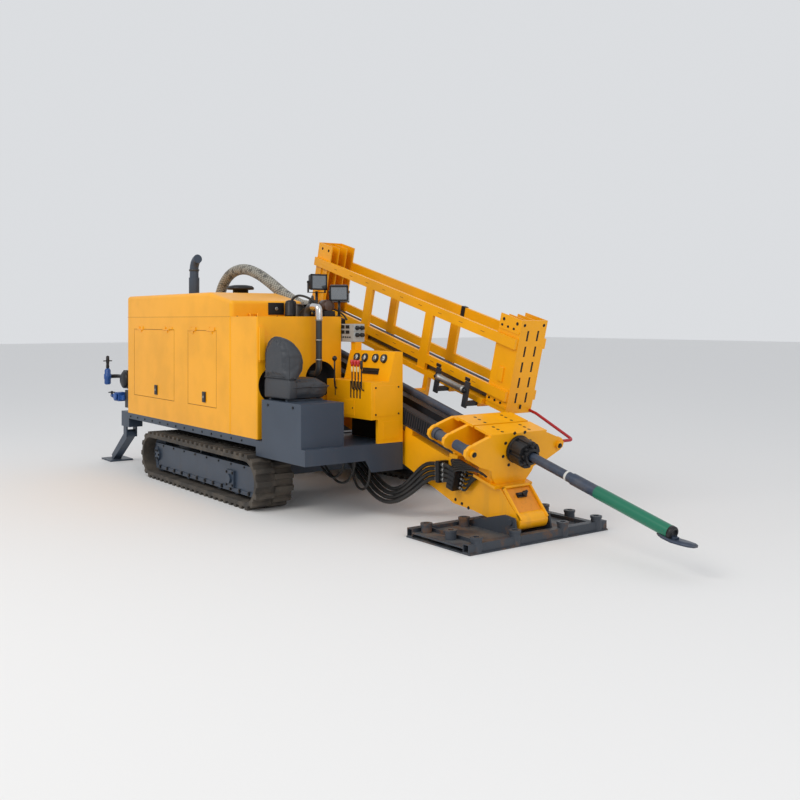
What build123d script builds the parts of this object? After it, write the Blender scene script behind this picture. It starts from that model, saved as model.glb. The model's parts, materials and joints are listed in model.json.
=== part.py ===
# Horizontal directional drill on rubber tracks, in millimetres.
# +X forward to the drill head, +Y to the machine's left, +Z up. The origin is on the
# floor, under the middle of the machine, and the drill string lies in the plane Y = 0.
import os
from math import atan2, cos, degrees, hypot, pi, radians, sin, tan

from build123d import *

os.makedirs("parts", exist_ok=True)

# Overall size
half_length = 3670
running_gap = 0.05      # radial clearance of a pin in its bore
seat_gap = 0.3          # between a moving piece and the face that it rides on
move_gap = 6            # between a moving piece and what it passes

# Mast frame: s along the drill string from the front vise, y across, n square to both
mast_pitch = 15
string_x, string_z = 2186, 615
pitch_cos, pitch_sin = cos(radians(mast_pitch)), sin(radians(mast_pitch))
mast = Plane(origin=(string_x, 0, string_z), x_dir=(pitch_cos, 0, -pitch_sin),
             z_dir=(pitch_sin, 0, pitch_cos))


def to_mast(x, z):
    """The s and n of a point given by its X and Z."""
    dx, dz = x - string_x, z - string_z
    return dx * pitch_cos - dz * pitch_sin, dx * pitch_sin + dz * pitch_cos


def on_mast(plane):
    """A plane given in the mast's own axes, in the machine's axes."""
    return Plane(mast.location * plane.location)


def bar(x0, x1, y0, y1, z0, z1, mode=Mode.ADD):
    """A block between two opposite corners, on the part that is being built."""
    with Locations(((x0 + x1) / 2, (y0 + y1) / 2, (z0 + z1) / 2)):
        Box(x1 - x0, y1 - y0, z1 - z0, mode=mode)


def rod_y(x, z, radius, y0, y1, mode=Mode.ADD):
    """A round bar across the machine."""
    with Locations((x, (y0 + y1) / 2, z)):
        Cylinder(radius, y1 - y0, rotation=(90, 0, 0), mode=mode)


def rod_x(y, z, radius, x0, x1, mode=Mode.ADD):
    """A round bar along the machine, or along the string on a mast part."""
    with Locations(((x0 + x1) / 2, y, z)):
        Cylinder(radius, x1 - x0, rotation=(0, 90, 0), mode=mode)


def rod_z(x, y, radius, z0, z1, mode=Mode.ADD):
    """An upright round bar."""
    with Locations((x, y, (z0 + z1) / 2)):
        Cylinder(radius, z1 - z0, mode=mode)


def save(piece, name):
    piece.part.label = name
    export_step(piece.part, f"parts/{name}.step")


# Tracks
track_front_x, track_rear_x = 232, -2304
track_height = 470
track_outer_y, track_width = 1181, 350
lug_height, belt_thickness = 26, 34
lug_count, lug_share = 54, 0.52
track_radius = track_height / 2
belt_radius = track_radius - lug_height
loop_radius = belt_radius - belt_thickness
idler_x = track_front_x - track_radius
sprocket_x = track_rear_x + track_radius
axle_span = idler_x - sprocket_x
track_inner_y = track_outer_y - track_width


def belt_point(station, lift):
    """A point on the belt's outside, a distance along it from the rear axle's foot."""
    arc = pi * belt_radius
    station %= 2 * (axle_span + arc)
    reach = belt_radius + lift
    if station < axle_span:
        return sprocket_x + station, track_radius - reach
    station -= axle_span
    if station < arc:
        turn = station / belt_radius - pi / 2
        return idler_x + reach * cos(turn), track_radius + reach * sin(turn)
    station -= arc
    if station < axle_span:
        return idler_x - station, track_radius + reach
    turn = (station - axle_span) / belt_radius + pi / 2
    return sprocket_x + reach * cos(turn), track_radius + reach * sin(turn)


def lug_outline(shift):
    """The belt's outside with its lugs, moved round the loop by a share of a pitch."""
    pitch = 2 * (axle_span + pi * belt_radius) / lug_count
    outline = []
    for lug in range(lug_count):
        start = (lug + shift) * pitch
        end = start + lug_share * pitch
        outline += [belt_point(start, 0), belt_point(start + 8, lug_height),
                    belt_point(end - 8, lug_height), belt_point(end, 0)]
    return outline


def build_track(side):
    """A rubber loop with two staggered rows of lugs. side is 1 for +Y and -1 for -Y."""
    with BuildPart() as track:
        for row, shift in ((0, 0.0), (1, 0.5)):
            inner = track_inner_y + row * track_width / 2
            outer = inner + track_width / 2
            with BuildSketch(Plane.XZ.offset(-side * (inner if side > 0 else outer))):
                with BuildLine():
                    Polyline(*lug_outline(shift), close=True)
                make_face()
                with Locations(((idler_x + sprocket_x) / 2, track_radius)):
                    SlotCenterToCenter(axle_span, 2 * loop_radius, mode=Mode.SUBTRACT)
            extrude(amount=-track_width / 2)
    return track


for side, name in ((1, "track_left"), (-1, "track_right")):
    save(build_track(side), name)

# Track frames and what turns in them
frame_rear_x, frame_front_x = track_rear_x + 219, track_front_x - 188
frame_bottom_z, frame_top_z = 95, 350
frame_rim, frame_recess = 34, 8
hub_radius, hub_plate = 58, 150
frame_inner_y, frame_outer_y = 880, 1105
wheel_gap = 0.5
wheel_radius = loop_radius - wheel_gap
wheel_inner_y, wheel_outer_y = 950, 1060
wheel_slot = 6
floor_of_loop = track_radius - loop_radius
roller_radius = 48
roller_z = floor_of_loop + wheel_gap + roller_radius
roller_count, roller_inset = 5, 330
roller_pitch = (frame_front_x - frame_rear_x - 2 * roller_inset - 100) / (roller_count - 1)
roller_xs = [frame_rear_x + roller_inset + i * roller_pitch for i in range(roller_count)]
carrier_x, carrier_radius = (idler_x + sprocket_x) / 2 - 84, 26
carrier_z = track_radius + loop_radius - wheel_gap - carrier_radius
cross_xs = (-1500, -480)
cross_bottom_z, cross_top_z, cross_half = 180, 300, 70

with BuildPart() as track_frames:
    for side in (1, -1):
        y0, y1 = sorted((side * frame_inner_y, side * frame_outer_y))
        bar(frame_rear_x, frame_front_x, y0, y1, frame_bottom_z, frame_top_z)
        s0, s1 = sorted((side * (wheel_inner_y - wheel_slot), side * (wheel_outer_y + wheel_slot)))
        bar(idler_x - wheel_radius - wheel_slot, frame_front_x + 1, s0, s1,
            frame_bottom_z - 1, frame_top_z + 1, mode=Mode.SUBTRACT)
        bar(frame_rear_x - 1, sprocket_x + wheel_radius + wheel_slot, s0, s1,
            frame_bottom_z - 1, frame_top_z + 1, mode=Mode.SUBTRACT)
        for x in roller_xs:
            rod_y(x, roller_z, roller_radius + wheel_slot, s0, s1, mode=Mode.SUBTRACT)
        h0, h1 = sorted((side * (wheel_outer_y + wheel_slot), side * frame_outer_y))
        bar(sprocket_x - 60, frame_rear_x, h0, h1, track_radius - 60, track_radius + 60)
        h0, h1 = sorted((side * (frame_outer_y - frame_recess), side * (frame_outer_y + 1)))
        bar(frame_rear_x + frame_rim, frame_front_x - frame_rim, h0, h1, frame_bottom_z + frame_rim,
            frame_top_z - frame_rim, mode=Mode.SUBTRACT)
        h0, h1 = sorted((side * (frame_outer_y - frame_recess), side * (frame_outer_y + 14)))
        rod_y(sprocket_x + 30, track_radius, hub_radius, h0, h1)
        bar(idler_x - 400 - hub_plate / 2, idler_x - 400 + hub_plate / 2, h0, h1,
            track_radius - 30 - hub_plate / 2, track_radius - 30 + hub_plate / 2)
        h0, h1 = sorted((side * (frame_outer_y + 14), side * (frame_outer_y + 34)))
        rod_y(idler_x - 400, track_radius - 30, hub_radius - 16, h0, h1)
        h0, h1 = sorted((side * frame_inner_y, side * (wheel_inner_y - wheel_slot)))
        bar(sprocket_x - 60, frame_rear_x, h0, h1, track_radius - 60, track_radius + 60)

with BuildPart() as track_wheels:
    for side in (1, -1):
        w0, w1 = sorted((side * wheel_inner_y, side * wheel_outer_y))
        g0, g1 = sorted((side * (wheel_inner_y - wheel_slot), side * (wheel_outer_y + wheel_slot)))
        for x in (sprocket_x, idler_x):
            rod_y(x, track_radius, wheel_radius, w0, w1)
            rod_y(x, track_radius, 45, g0, g1)
        for x in roller_xs:
            rod_y(x, roller_z, roller_radius, w0, w1)
            rod_y(x, roller_z, 16, g0, g1)
        rod_y(carrier_x, carrier_z, carrier_radius, w0, w1)
        bar(carrier_x - 14, carrier_x + 14, w0, w1, frame_top_z, carrier_z)

# Chassis: deck frame, cross tubes to the tracks, mast pivot ears and rear corner posts
body_y = 1104            # side of the deck, the hood and the tank
deck_z, sill_height = 595, 62
deck_rear_x, deck_front_x = -2906, 60
beam_inner_y, beam_outer_y = 300, 400
beam_bottom_z = 300
sill_z = deck_z - sill_height
platform_front_x = 864
pivot_x, pivot_z, pivot_radius = -250, 780, 30
hose_port_y0, hose_port_y1, hose_port_z0 = -660, -170, 440   # plate that the hoses leave from
ear_inner, ear_thickness = 150, 30
lift_base_x, lift_base_z, lift_pin_radius = -1550, 360, 22
lift_seat_z = 320
lift_ear_inner, lift_ear_thickness = 40, 18
post_x0, post_low_z, post_y0 = -3130, 430, 930
leg_pivot_x, leg_pivot_z, leg_pin_radius = -3060, 345, 20
leg_half_width = 45
leg_y = 1010
leg_ear_thickness = 16

with BuildPart() as chassis:
    for side in (1, -1):
        y0, y1 = sorted((side * (body_y - 100), side * body_y))
        bar(deck_rear_x, deck_front_x, y0, y1, sill_z, deck_z)
        y0, y1 = sorted((side * beam_inner_y, side * beam_outer_y))
        bar(deck_rear_x, deck_front_x, y0, y1, beam_bottom_z, deck_z)
    for x in (deck_rear_x, -1950, -1000, deck_front_x - 100):
        bar(x, x + 100, -body_y, body_y, sill_z, deck_z)
    for side in (1, -1):
        y0, y1 = sorted((side * beam_outer_y, side * (body_y - 100)))
        bar(deck_rear_x, deck_front_x, y0, y1, deck_z - 12, deck_z)
    bar(deck_front_x - 14, deck_front_x, hose_port_y0, hose_port_y1, hose_port_z0, sill_z)
    for x in cross_xs:
        bar(x - cross_half, x + cross_half, -frame_inner_y, frame_inner_y, cross_bottom_z, cross_top_z)
    for side in (1, -1):
        y0, y1 = sorted((side * ear_inner, side * (ear_inner + ear_thickness)))
        with BuildSketch(Plane.XZ.offset(-y1)):
            with BuildLine():
                Polyline((pivot_x - 150, sill_z), (pivot_x + 150, sill_z), (pivot_x + 60, pivot_z + 20),
                         (pivot_x - 60, pivot_z + 20), close=True)
            make_face()
            with Locations((pivot_x, pivot_z)):
                Circle(2 * pivot_radius)
        extrude(amount=ear_thickness)
        b0, b1 = sorted((side * ear_inner, side * beam_inner_y))
        bar(pivot_x - 150, pivot_x + 150, b0, b1, sill_z, deck_z)
        y0, y1 = sorted((side * lift_ear_inner, side * (lift_ear_inner + lift_ear_thickness)))
        with BuildSketch(Plane.XZ.offset(-y1)):
            with BuildLine():
                Polyline((lift_base_x - 80, lift_seat_z), (lift_base_x + 80, lift_seat_z),
                         (lift_base_x + 35, lift_base_z), (lift_base_x - 35, lift_base_z), close=True)
            make_face()
            with Locations((lift_base_x, lift_base_z)):
                Circle(2 * lift_pin_radius - 6)
        extrude(amount=lift_ear_thickness)
    bar(lift_base_x - 90, lift_base_x + 90, -beam_inner_y, beam_inner_y, cross_top_z, lift_seat_z)
    rod_y(pivot_x, pivot_z, pivot_radius, -ear_inner - ear_thickness, ear_inner + ear_thickness)
    rod_y(lift_base_x, lift_base_z, lift_pin_radius, -lift_ear_inner - lift_ear_thickness,
          lift_ear_inner + lift_ear_thickness)
    for side in (1, -1):
        y0, y1 = sorted((side * post_y0, side * (body_y - 20)))
        bar(post_x0, deck_rear_x, y0, y1, post_low_z, deck_z)
        for edge in (leg_y - leg_half_width - seat_gap - leg_ear_thickness, leg_y + leg_half_width + seat_gap):
            y0, y1 = sorted((side * edge, side * (edge + leg_ear_thickness)))
            bar(leg_pivot_x - 45, leg_pivot_x + 45, y0, y1, leg_pivot_z - 35, post_low_z)
        y0, y1 = sorted((side * (leg_y - leg_half_width - leg_ear_thickness),
                         side * (leg_y + leg_half_width + leg_ear_thickness)))
        rod_y(leg_pivot_x, leg_pivot_z, leg_pin_radius, y0, y1)

# Operator platform with its stepped front skirt
platform_y0, platform_y1 = -body_y, -160
platform_top_z, platform_low_z, skirt_low_z = 587, 458, 358
plate = 12
skirt_step_y = -470
with BuildPart() as platform:
    bar(deck_front_x, platform_front_x, platform_y0, platform_y1, platform_top_z - plate, platform_top_z)
    with BuildSketch(Plane.YZ.offset(platform_front_x - plate)):
        with BuildLine():
            Polyline((platform_y0, platform_top_z), (platform_y0, platform_low_z),
                     (skirt_step_y - 60, platform_low_z), (skirt_step_y, skirt_low_z),
                     (platform_y1, skirt_low_z), (platform_y1, platform_top_z), close=True)
        make_face()
    extrude(amount=plate)
    for y in (platform_y0, platform_y1 - plate):
        bar(deck_front_x, platform_front_x, y, y + plate, platform_low_z, platform_top_z)
    for y in (-900, -400):
        bar(deck_front_x, platform_front_x, y - 40, y + 40, platform_low_z + 30, platform_top_z - plate)

# Engine hood: a hollow shell with a bevelled front, open below, and two door openings
hood_rear_x, hood_front_x, hood_bevel_x = -2906, -405, -875
hood_inner_y = -370
hood_top_z, hood_front_top_z = 1856, 1771
hood_wall = 25
hood_round = 35
door_gap = 6
door_bottom_z, door_top_z = 805, 1500
doors = (  # name, rear edge X, front edge X, latch X
    ("rear", -2690, -1645, -2088),
    ("front", -1310, -700, -947),
)


def hood_section(inset):
    return ((hood_rear_x + inset, deck_z), (hood_front_x - inset, deck_z),
            (hood_front_x - inset, hood_front_top_z - inset), (hood_bevel_x, hood_top_z - inset),
            (hood_rear_x + inset, hood_top_z - inset))


with BuildPart() as hood:
    with BuildSketch(Plane.XZ.offset(body_y)):
        with BuildLine():
            Polyline(*hood_section(0), close=True)
        make_face()
    extrude(amount=-(body_y + hood_inner_y))
    top_edges = hood.edges().filter_by(lambda edge: edge.center().Z > deck_z + 50)
    fillet(top_edges.filter_by(lambda edge: abs(edge.center().X - hood_bevel_x) > 5), hood_round)
    with BuildSketch(Plane.XZ.offset(body_y - hood_wall)):
        with BuildLine():
            Polyline(*hood_section(hood_wall), close=True)
        make_face()
    extrude(amount=-(body_y + hood_inner_y - 2 * hood_wall), mode=Mode.SUBTRACT)
    for _, x0, x1, _ in doors:
        bar(x0 - door_gap, x1 + door_gap, -body_y - 1, -body_y + hood_wall + 1,
            door_bottom_z - door_gap, door_top_z + door_gap, mode=Mode.SUBTRACT)
    hinge_z = door_top_z + door_gap / 2
    hinge_radius, hinge_length, hinge_pin_radius = 7, 50, 3.5
    hinge_y = -body_y - hinge_radius
    for _, x0, x1, _ in doors:
        for x in (x0 + 0.17 * (x1 - x0), x0 + 0.83 * (x1 - x0)):
            for edge in (x - 1.5 * hinge_length - seat_gap, x + 0.5 * hinge_length + seat_gap):
                rod_x(hinge_y, hinge_z, hinge_radius, edge, edge + hinge_length)
                bar(edge, edge + hinge_length, hinge_y, -body_y, hinge_z, hinge_z + 30)
            rod_x(hinge_y, hinge_z, hinge_pin_radius, x - hinge_length, x + hinge_length)

door_thickness = 22
for door_name, x0, x1, latch_x in doors:
    with BuildPart() as door:
        bar(x0, x1, -body_y, -body_y + door_thickness, door_bottom_z, door_top_z)
        bar(x0 + 25, x1 - 25, -body_y + 3, -body_y + door_thickness + 1,
            door_bottom_z + 25, door_top_z - 25, mode=Mode.SUBTRACT)
        for x in (x0 + 0.17 * (x1 - x0), x0 + 0.83 * (x1 - x0)):
            rod_x(hinge_y, hinge_z, hinge_radius, x - hinge_length / 2, x + hinge_length / 2)
            bar(x - hinge_length / 2, x + hinge_length / 2, hinge_y, -body_y, hinge_z - 30, hinge_z)
            rod_x(hinge_y, hinge_z, hinge_pin_radius + running_gap, x - hinge_length / 2,
                  x + hinge_length / 2, mode=Mode.SUBTRACT)
        bar(latch_x - 32, latch_x + 32, -body_y - 8, -body_y, 840, 935)
    save(door, f"door_{door_name}")

# Louvred grille on the hood's rear wall, for the radiator's air
grille_y0, grille_y1, grille_z0, grille_z1 = -1010, -460, 1090, 1700
grille_depth, grille_border, slat_count = 26, 30, 14
slat_pitch = (grille_z1 - grille_z0 - 2 * grille_border) / slat_count
with BuildPart() as rear_grille:
    bar(hood_rear_x - grille_depth, hood_rear_x, grille_y0, grille_y1, grille_z0, grille_z1)
    bar(hood_rear_x - grille_depth - 1, hood_rear_x + 1, grille_y0 + grille_border, grille_y1 - grille_border,
        grille_z0 + grille_border, grille_z1 - grille_border, mode=Mode.SUBTRACT)
    for i in range(slat_count):
        low_z = grille_z0 + grille_border + i * slat_pitch
        with BuildSketch(Plane.XZ.offset(-grille_y1 + grille_border)):
            with BuildLine():
                Polyline((hood_rear_x, low_z + 24), (hood_rear_x, low_z + 31),
                         (hood_rear_x - grille_depth + 2, low_z + 9), (hood_rear_x - grille_depth + 2, low_z + 2),
                         close=True)
            make_face()
        extrude(amount=grille_y1 - grille_y0 - 2 * grille_border)

with BuildPart() as engine_block:
    bar(-2450, -1400, -1000, -470, deck_z, 1250)

# Tank cabinet with two arched recesses in its front
tank_front_x, tank_inner_y, tank_top_z = 79, -257, 1631
arches = ((-475, 1085), (-934, 1050))   # y, z of each centre
arch_radius, arch_depth = 155, 120
with BuildPart() as tank_cabinet:
    bar(hood_front_x, tank_front_x, -body_y, tank_inner_y, deck_z, tank_top_z)
    fillet(tank_cabinet.edges().filter_by(Axis.Z).group_by(Axis.X)[-1], 12)
    for y, z in arches:
        rod_x(y, z, arch_radius, tank_front_x - arch_depth, tank_front_x + 1, mode=Mode.SUBTRACT)
    bar(tank_front_x, tank_front_x + 28, -1090, -1045, 1262, 1541)

# On the hood: exhaust, intake cap
exhaust_x, exhaust_y, exhaust_radius, exhaust_height = -1890, -780, 45, 414
bend = 110
exhaust_top_z = hood_top_z + exhaust_height
with BuildPart() as exhaust:
    rod_z(exhaust_x, exhaust_y, exhaust_radius, hood_top_z, exhaust_top_z - exhaust_radius - bend)
    rod_z(exhaust_x, exhaust_y, exhaust_radius + 8, hood_top_z, hood_top_z + 0.43 * exhaust_height)
    with BuildSketch(Plane.XY.offset(exhaust_top_z - exhaust_radius - bend)):
        with Locations((exhaust_x, exhaust_y)):
            Circle(exhaust_radius)
    revolve(axis=Axis((exhaust_x + bend, exhaust_y, exhaust_top_z - exhaust_radius - bend), (0, 1, 0)),
            revolution_arc=80)

cap_x, cap_y, cap_radius, cap_top_z = -1170, -620, 130, 1940
with BuildPart() as intake_cap:
    with BuildSketch(Plane.XZ.offset(-cap_y)):
        with BuildLine():
            Polyline((cap_x, cap_top_z), (cap_x, hood_top_z), (cap_x + 0.6 * cap_radius, hood_top_z),
                     (cap_x + 0.6 * cap_radius, hood_top_z + 25), (cap_x + cap_radius, hood_top_z + 25),
                     (cap_x + cap_radius, hood_top_z + 45), (cap_x + 0.7 * cap_radius, cap_top_z - 12),
                     close=True)
        make_face()
    revolve(axis=Axis((cap_x, cap_y, 0), (0, 0, 1)))

# Seat box and seat, which faces +Y
box_x0, box_x1, box_y0, box_y1, box_top_z = 166, 805, -1104, -706, 938
seat_x0, seat_x1 = 112, 542
seat_rear_y, seat_front_y, seat_base_z = -1062, -635, 952
with BuildPart() as seat_box:
    bar(box_x0, box_x1, box_y0, box_y1, platform_top_z, box_top_z)
    for x in (seat_x0 + 70, seat_x1 - 90):
        bar(x, x + 30, seat_rear_y + 20, box_y1, box_top_z, seat_base_z)
cushion_top_z, back_top_z = 1090, 1476
back_arch_radius = 195
with BuildPart() as seat:
    with BuildSketch(Plane.YZ.offset(seat_x0)):
        with BuildLine():
            Polyline((seat_front_y + 10, 985), (seat_front_y, 1055), (-760, cushion_top_z), (-940, 1085),
                     (-960, 1120), (-893, 1250), (-920, 1340), (-985, 1420), (seat_rear_y, back_top_z),
                     (seat_rear_y, seat_base_z), (seat_front_y + 30, seat_base_z), close=True)
        make_face()
    extrude(amount=seat_x1 - seat_x0)
    arch_z = back_top_z - back_arch_radius
    with BuildSketch(Plane.XZ.offset(-seat_rear_y + 1)):
        with Locations(((seat_x0 + seat_x1) / 2, back_top_z)):
            Rectangle(seat_x1 - seat_x0 + 4, 2 * back_arch_radius)
        with Locations(((seat_x0 + seat_x1) / 2, arch_z)):
            Ellipse((seat_x1 - seat_x0) / 2, back_arch_radius, mode=Mode.SUBTRACT)
    extrude(amount=-200, mode=Mode.SUBTRACT)
# Console with its sloping panel
console_x0, console_x1, console_y0, console_y1 = 190, 864, -480, -160
console_z0, console_z1, console_top_z = 783, 1091, 1336
panel_y0, panel_y1 = -301, -238
pedestal_y0 = -412
ebox_x0, ebox_x1, ebox_y0, ebox_y1, ebox_z0, ebox_z1 = 31, 270, -252, -140, 1407, 1565
with BuildPart() as console:
    with BuildSketch(Plane.YZ.offset(console_x0)):
        with BuildLine():
            Polyline((console_y0, console_z0), (console_y1, console_z0), (console_y1, console_top_z),
                     (panel_y1, console_top_z), (panel_y0, console_z1), (console_y0, console_z1), close=True)
        make_face()
    extrude(amount=console_x1 - console_x0)
    bar(console_x0, console_x1, console_y1 - 60, console_y1, platform_top_z, console_z0)
    bar(console_x1 - 30, console_x1, pedestal_y0, console_y1, platform_top_z, console_z0)
    bar(200, 268, -236, -170, console_top_z, ebox_z0)

# Rails of the mast, with the ears that the lift cylinder pushes
lift_eye_x, lift_eye_z = -1500, 1260
eye_s, eye_n = to_mast(lift_eye_x, lift_eye_z)
mast_rear_s, rail_front_s = -4500, -660
rail_inner, rail_outer, rail_top, rail_bottom = 60, 140, -100, -240
rail_lip, rail_recess = 16, 18
rack_teeth = 122
rack_pitch = (rail_front_s - mast_rear_s) / rack_teeth
rack_root_y, rack_tip_y = rail_outer - 12, rail_outer + 4
with BuildPart(mast) as mast_rails:
    for side in (1, -1):
        y0, y1 = sorted((side * rail_inner, side * rail_outer))
        bar(mast_rear_s, rail_front_s, y0, y1, rail_bottom, rail_top)
        y0, y1 = sorted((side * (rail_outer - rail_recess), side * (rail_outer + 1)))
        bar(mast_rear_s - 1, rail_front_s + 1, y0, y1, rail_bottom + rail_lip,
            rail_top - rail_lip, mode=Mode.SUBTRACT)
    tooth_rows = []
    for tooth in range(rack_teeth):
        s = mast_rear_s + (tooth + 0.2) * rack_pitch
        tooth_rows += [(s, -rack_root_y), (s + 0.15 * rack_pitch, -rack_tip_y),
                       (s + 0.45 * rack_pitch, -rack_tip_y), (s + 0.6 * rack_pitch, -rack_root_y)]
    with BuildSketch(on_mast(Plane.XY.offset(rail_bottom + rail_lip))):
        with BuildLine():
            Polyline((mast_rear_s, -rail_outer + rail_recess), (mast_rear_s, -rack_root_y), *tooth_rows,
                     (rail_front_s, -rack_root_y), (rail_front_s, -rail_outer + rail_recess), close=True)
        make_face()
    extrude(amount=rail_top - rail_bottom - 2 * rail_lip)
    for s in (mast_rear_s, -3700, -2900, -2100, -1300, rail_front_s - 40):
        bar(s, s + 40, -rail_inner, rail_inner, rail_bottom, rail_bottom + 60)
    bar(eye_s - 60, eye_s + 60, -rail_outer, rail_outer, rail_bottom - 12, rail_bottom)
    for side in (1, -1):
        lift_lug_y = lift_ear_inner + move_gap
        y0, y1 = sorted((side * lift_lug_y, side * (lift_lug_y + lift_ear_thickness)))
        bar(eye_s - 60, eye_s + 60, y0, y1, eye_n - 45, rail_bottom)
    rod_y(eye_s, eye_n, lift_pin_radius, -lift_ear_inner - move_gap - 5, lift_ear_inner + move_gap + 5)

# Tilting lower beam with its pivot boss
beam_rear_s, beam_front_s = -2600, -560
beam_top, beam_low_rear, beam_low_front = -290, -560, -610
beam_half, beam_wall = 130, 15
pivot_s, pivot_n = to_mast(pivot_x, pivot_z)
with BuildPart(mast) as lower_beam:
    with BuildSketch(on_mast(Plane.XZ.offset(-beam_half))):
        with BuildLine():
            Polyline((beam_rear_s, beam_top), (beam_rear_s, beam_low_rear), (-1300, beam_low_rear),
                     (beam_front_s, beam_low_front), (beam_front_s, beam_top), close=True)
        make_face()
    extrude(amount=2 * beam_half)
    bar(beam_rear_s - 1, beam_front_s + 1, -beam_half + beam_wall, beam_half - beam_wall,
        beam_low_front - 1, beam_top - beam_wall, mode=Mode.SUBTRACT)
    for s in (-1900, -1250, beam_front_s - beam_wall):
        bar(s, s + beam_wall, -beam_half + beam_wall, beam_half - beam_wall, beam_low_rear + 20,
            beam_top - beam_wall)
    rod_y(pivot_s, pivot_n, 55, -beam_half - 15, beam_half + 15)
    rod_y(pivot_s, pivot_n, pivot_radius + running_gap, -beam_half - 16, beam_half + 16, mode=Mode.SUBTRACT)
    for s in (-2500, -1900, -1300, -700):
        bar(s, s + 100, -beam_half, beam_half, beam_top, rail_bottom)

# Foot under the front vise, with the tube that carries the anchor plate
anchor_pivot_x, anchor_pivot_z, anchor_pin_radius = 2190, 140, 25
foot_s, foot_n = to_mast(anchor_pivot_x, anchor_pivot_z)
foot_half, foot_wall, tube_radius = 138, 20, 65
foot_top, foot_plate = -270, 20
foot_front_s = -60
foot_panel_inset, foot_window = 55, 72
with BuildPart(mast) as foot:
    for side in (1, -1):
        y0, y1 = sorted((side * (foot_half - foot_wall), side * foot_half))
        with BuildSketch(on_mast(Plane.XZ.offset(-y1))):
            with BuildLine():
                Polyline((beam_front_s, beam_top), (foot_front_s, beam_top), (foot_s + tube_radius, foot_n + 20),
                         (foot_s, foot_n - tube_radius), (beam_front_s + 250, beam_low_front + 45),
                         (beam_front_s, beam_low_front), close=True)
            make_face()
            with Locations((foot_s, foot_n)):
                Circle(tube_radius)
        extrude(amount=foot_wall)
    bar(beam_front_s, foot_front_s, -foot_half + foot_wall, foot_half - foot_wall, beam_top - foot_plate, beam_top)
    for inset, half in ((0, foot_half - foot_wall), (foot_panel_inset, foot_half - foot_wall)):
        with BuildSketch(on_mast(Plane.XZ.offset(-half))):
            with BuildLine():
                Polyline((foot_front_s - inset, beam_top), (foot_s + tube_radius - inset, foot_n + 20),
                         (foot_s + tube_radius - inset - foot_wall, foot_n + 20),
                         (foot_front_s - inset - foot_wall, beam_top), close=True)
            make_face()
        extrude(amount=2 * half)
        if not inset:   # a window in the front plate shows the panel behind it
            bar(foot_s - 100, foot_front_s + 100, -foot_window, foot_window, foot_n + tube_radius + 25,
                beam_top - foot_plate - 45, mode=Mode.SUBTRACT)
    rod_y(foot_s, foot_n, tube_radius, -foot_half + foot_wall, foot_half - foot_wall)
    rod_y(foot_s, foot_n, anchor_pin_radius + running_gap, -foot_half - 1, foot_half + 1, mode=Mode.SUBTRACT)
    bar(-330, foot_front_s - 20, -190, 190, beam_top, foot_top)

# Anchor plate with stake bosses
anchor_x0, anchor_x1, anchor_half_y = 1622, 2342, 690
anchor_tube, anchor_sheet, anchor_deck_z = 62, 10, 46
cap_rim, cap_thick = 5, 16
bracket_inner, bracket_thickness = 165, 15
boss_radius, boss_bore, boss_top = 40, 22, 115
bosses = [(x, y) for x in (1750, 2305) for y in (-600, -240, 240, 600)] + [(2030, -600), (2030, 600)]
with BuildPart() as anchor_plate:
    bar(anchor_x0, anchor_x1, -anchor_half_y, anchor_half_y, 0, anchor_sheet)
    for x in (anchor_x0 + 12, anchor_x1 - 12 - anchor_tube):
        bar(x, x + anchor_tube, -anchor_half_y, anchor_half_y, anchor_sheet, anchor_sheet + anchor_tube)
        bar(x + 6, x + anchor_tube - 6, -anchor_half_y - 1, anchor_half_y + 1, anchor_sheet + 6,
            anchor_sheet + anchor_tube - 6, mode=Mode.SUBTRACT)
    for y in (-anchor_half_y + 140, anchor_half_y - 140 - 12):
        bar(anchor_x0 + 12 + anchor_tube, anchor_x1 - 12 - anchor_tube, y, y + 12, anchor_sheet,
            anchor_sheet + anchor_tube)
    bar(anchor_x0 + 12 + anchor_tube, anchor_x1 - 12 - anchor_tube, -anchor_half_y, anchor_half_y,
        anchor_deck_z - anchor_sheet, anchor_deck_z)
    for side in (1, -1):
        y0, y1 = sorted((side * bracket_inner, side * (bracket_inner + bracket_thickness)))
        with BuildSketch(Plane.XZ.offset(-y1)):
            with BuildLine():
                Polyline((anchor_x0 + 12 + anchor_tube, anchor_sheet),
                         (anchor_x1 - 12 - anchor_tube, anchor_sheet),
                         (anchor_pivot_x + 45, anchor_pivot_z + 35), (anchor_pivot_x - 60, anchor_pivot_z + 45),
                         (anchor_x0 + 12 + anchor_tube, anchor_sheet + anchor_tube), close=True)
            make_face()
        extrude(amount=bracket_thickness)
    rod_y(anchor_pivot_x, anchor_pivot_z, anchor_pin_radius, -bracket_inner - bracket_thickness - 10,
          bracket_inner + bracket_thickness + 10)
    for x, y in bosses:
        rod_z(x, y, boss_radius, anchor_sheet, boss_top)
        rod_z(x, y, boss_radius + cap_rim, boss_top - cap_thick, boss_top)
    for x, y in bosses:
        rod_z(x, y, boss_bore, -1, boss_top + 1, mode=Mode.SUBTRACT)

# Vises: plates with wings, top plates and clamp cylinders at the wing tips
rod_radius = 34
vise_bore = rod_radius + 10
wing_y, wing_n, wing_radius = 432, -5, 60
vise_top = 108


def wing_section(low):
    """Half outline of a vise plate, from the middle of its foot round to the middle top."""
    return ((150, low), (200, -200), (215, -158), (wing_y - 90, -116), (wing_y + 8, wing_n - wing_radius + 2),
            (wing_y + wing_radius, wing_n - 20), (wing_y + wing_radius, wing_n + 22),
            (wing_y - 20, wing_n + wing_radius + 6),
            (300, vise_top - 6), (280, vise_top))


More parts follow.
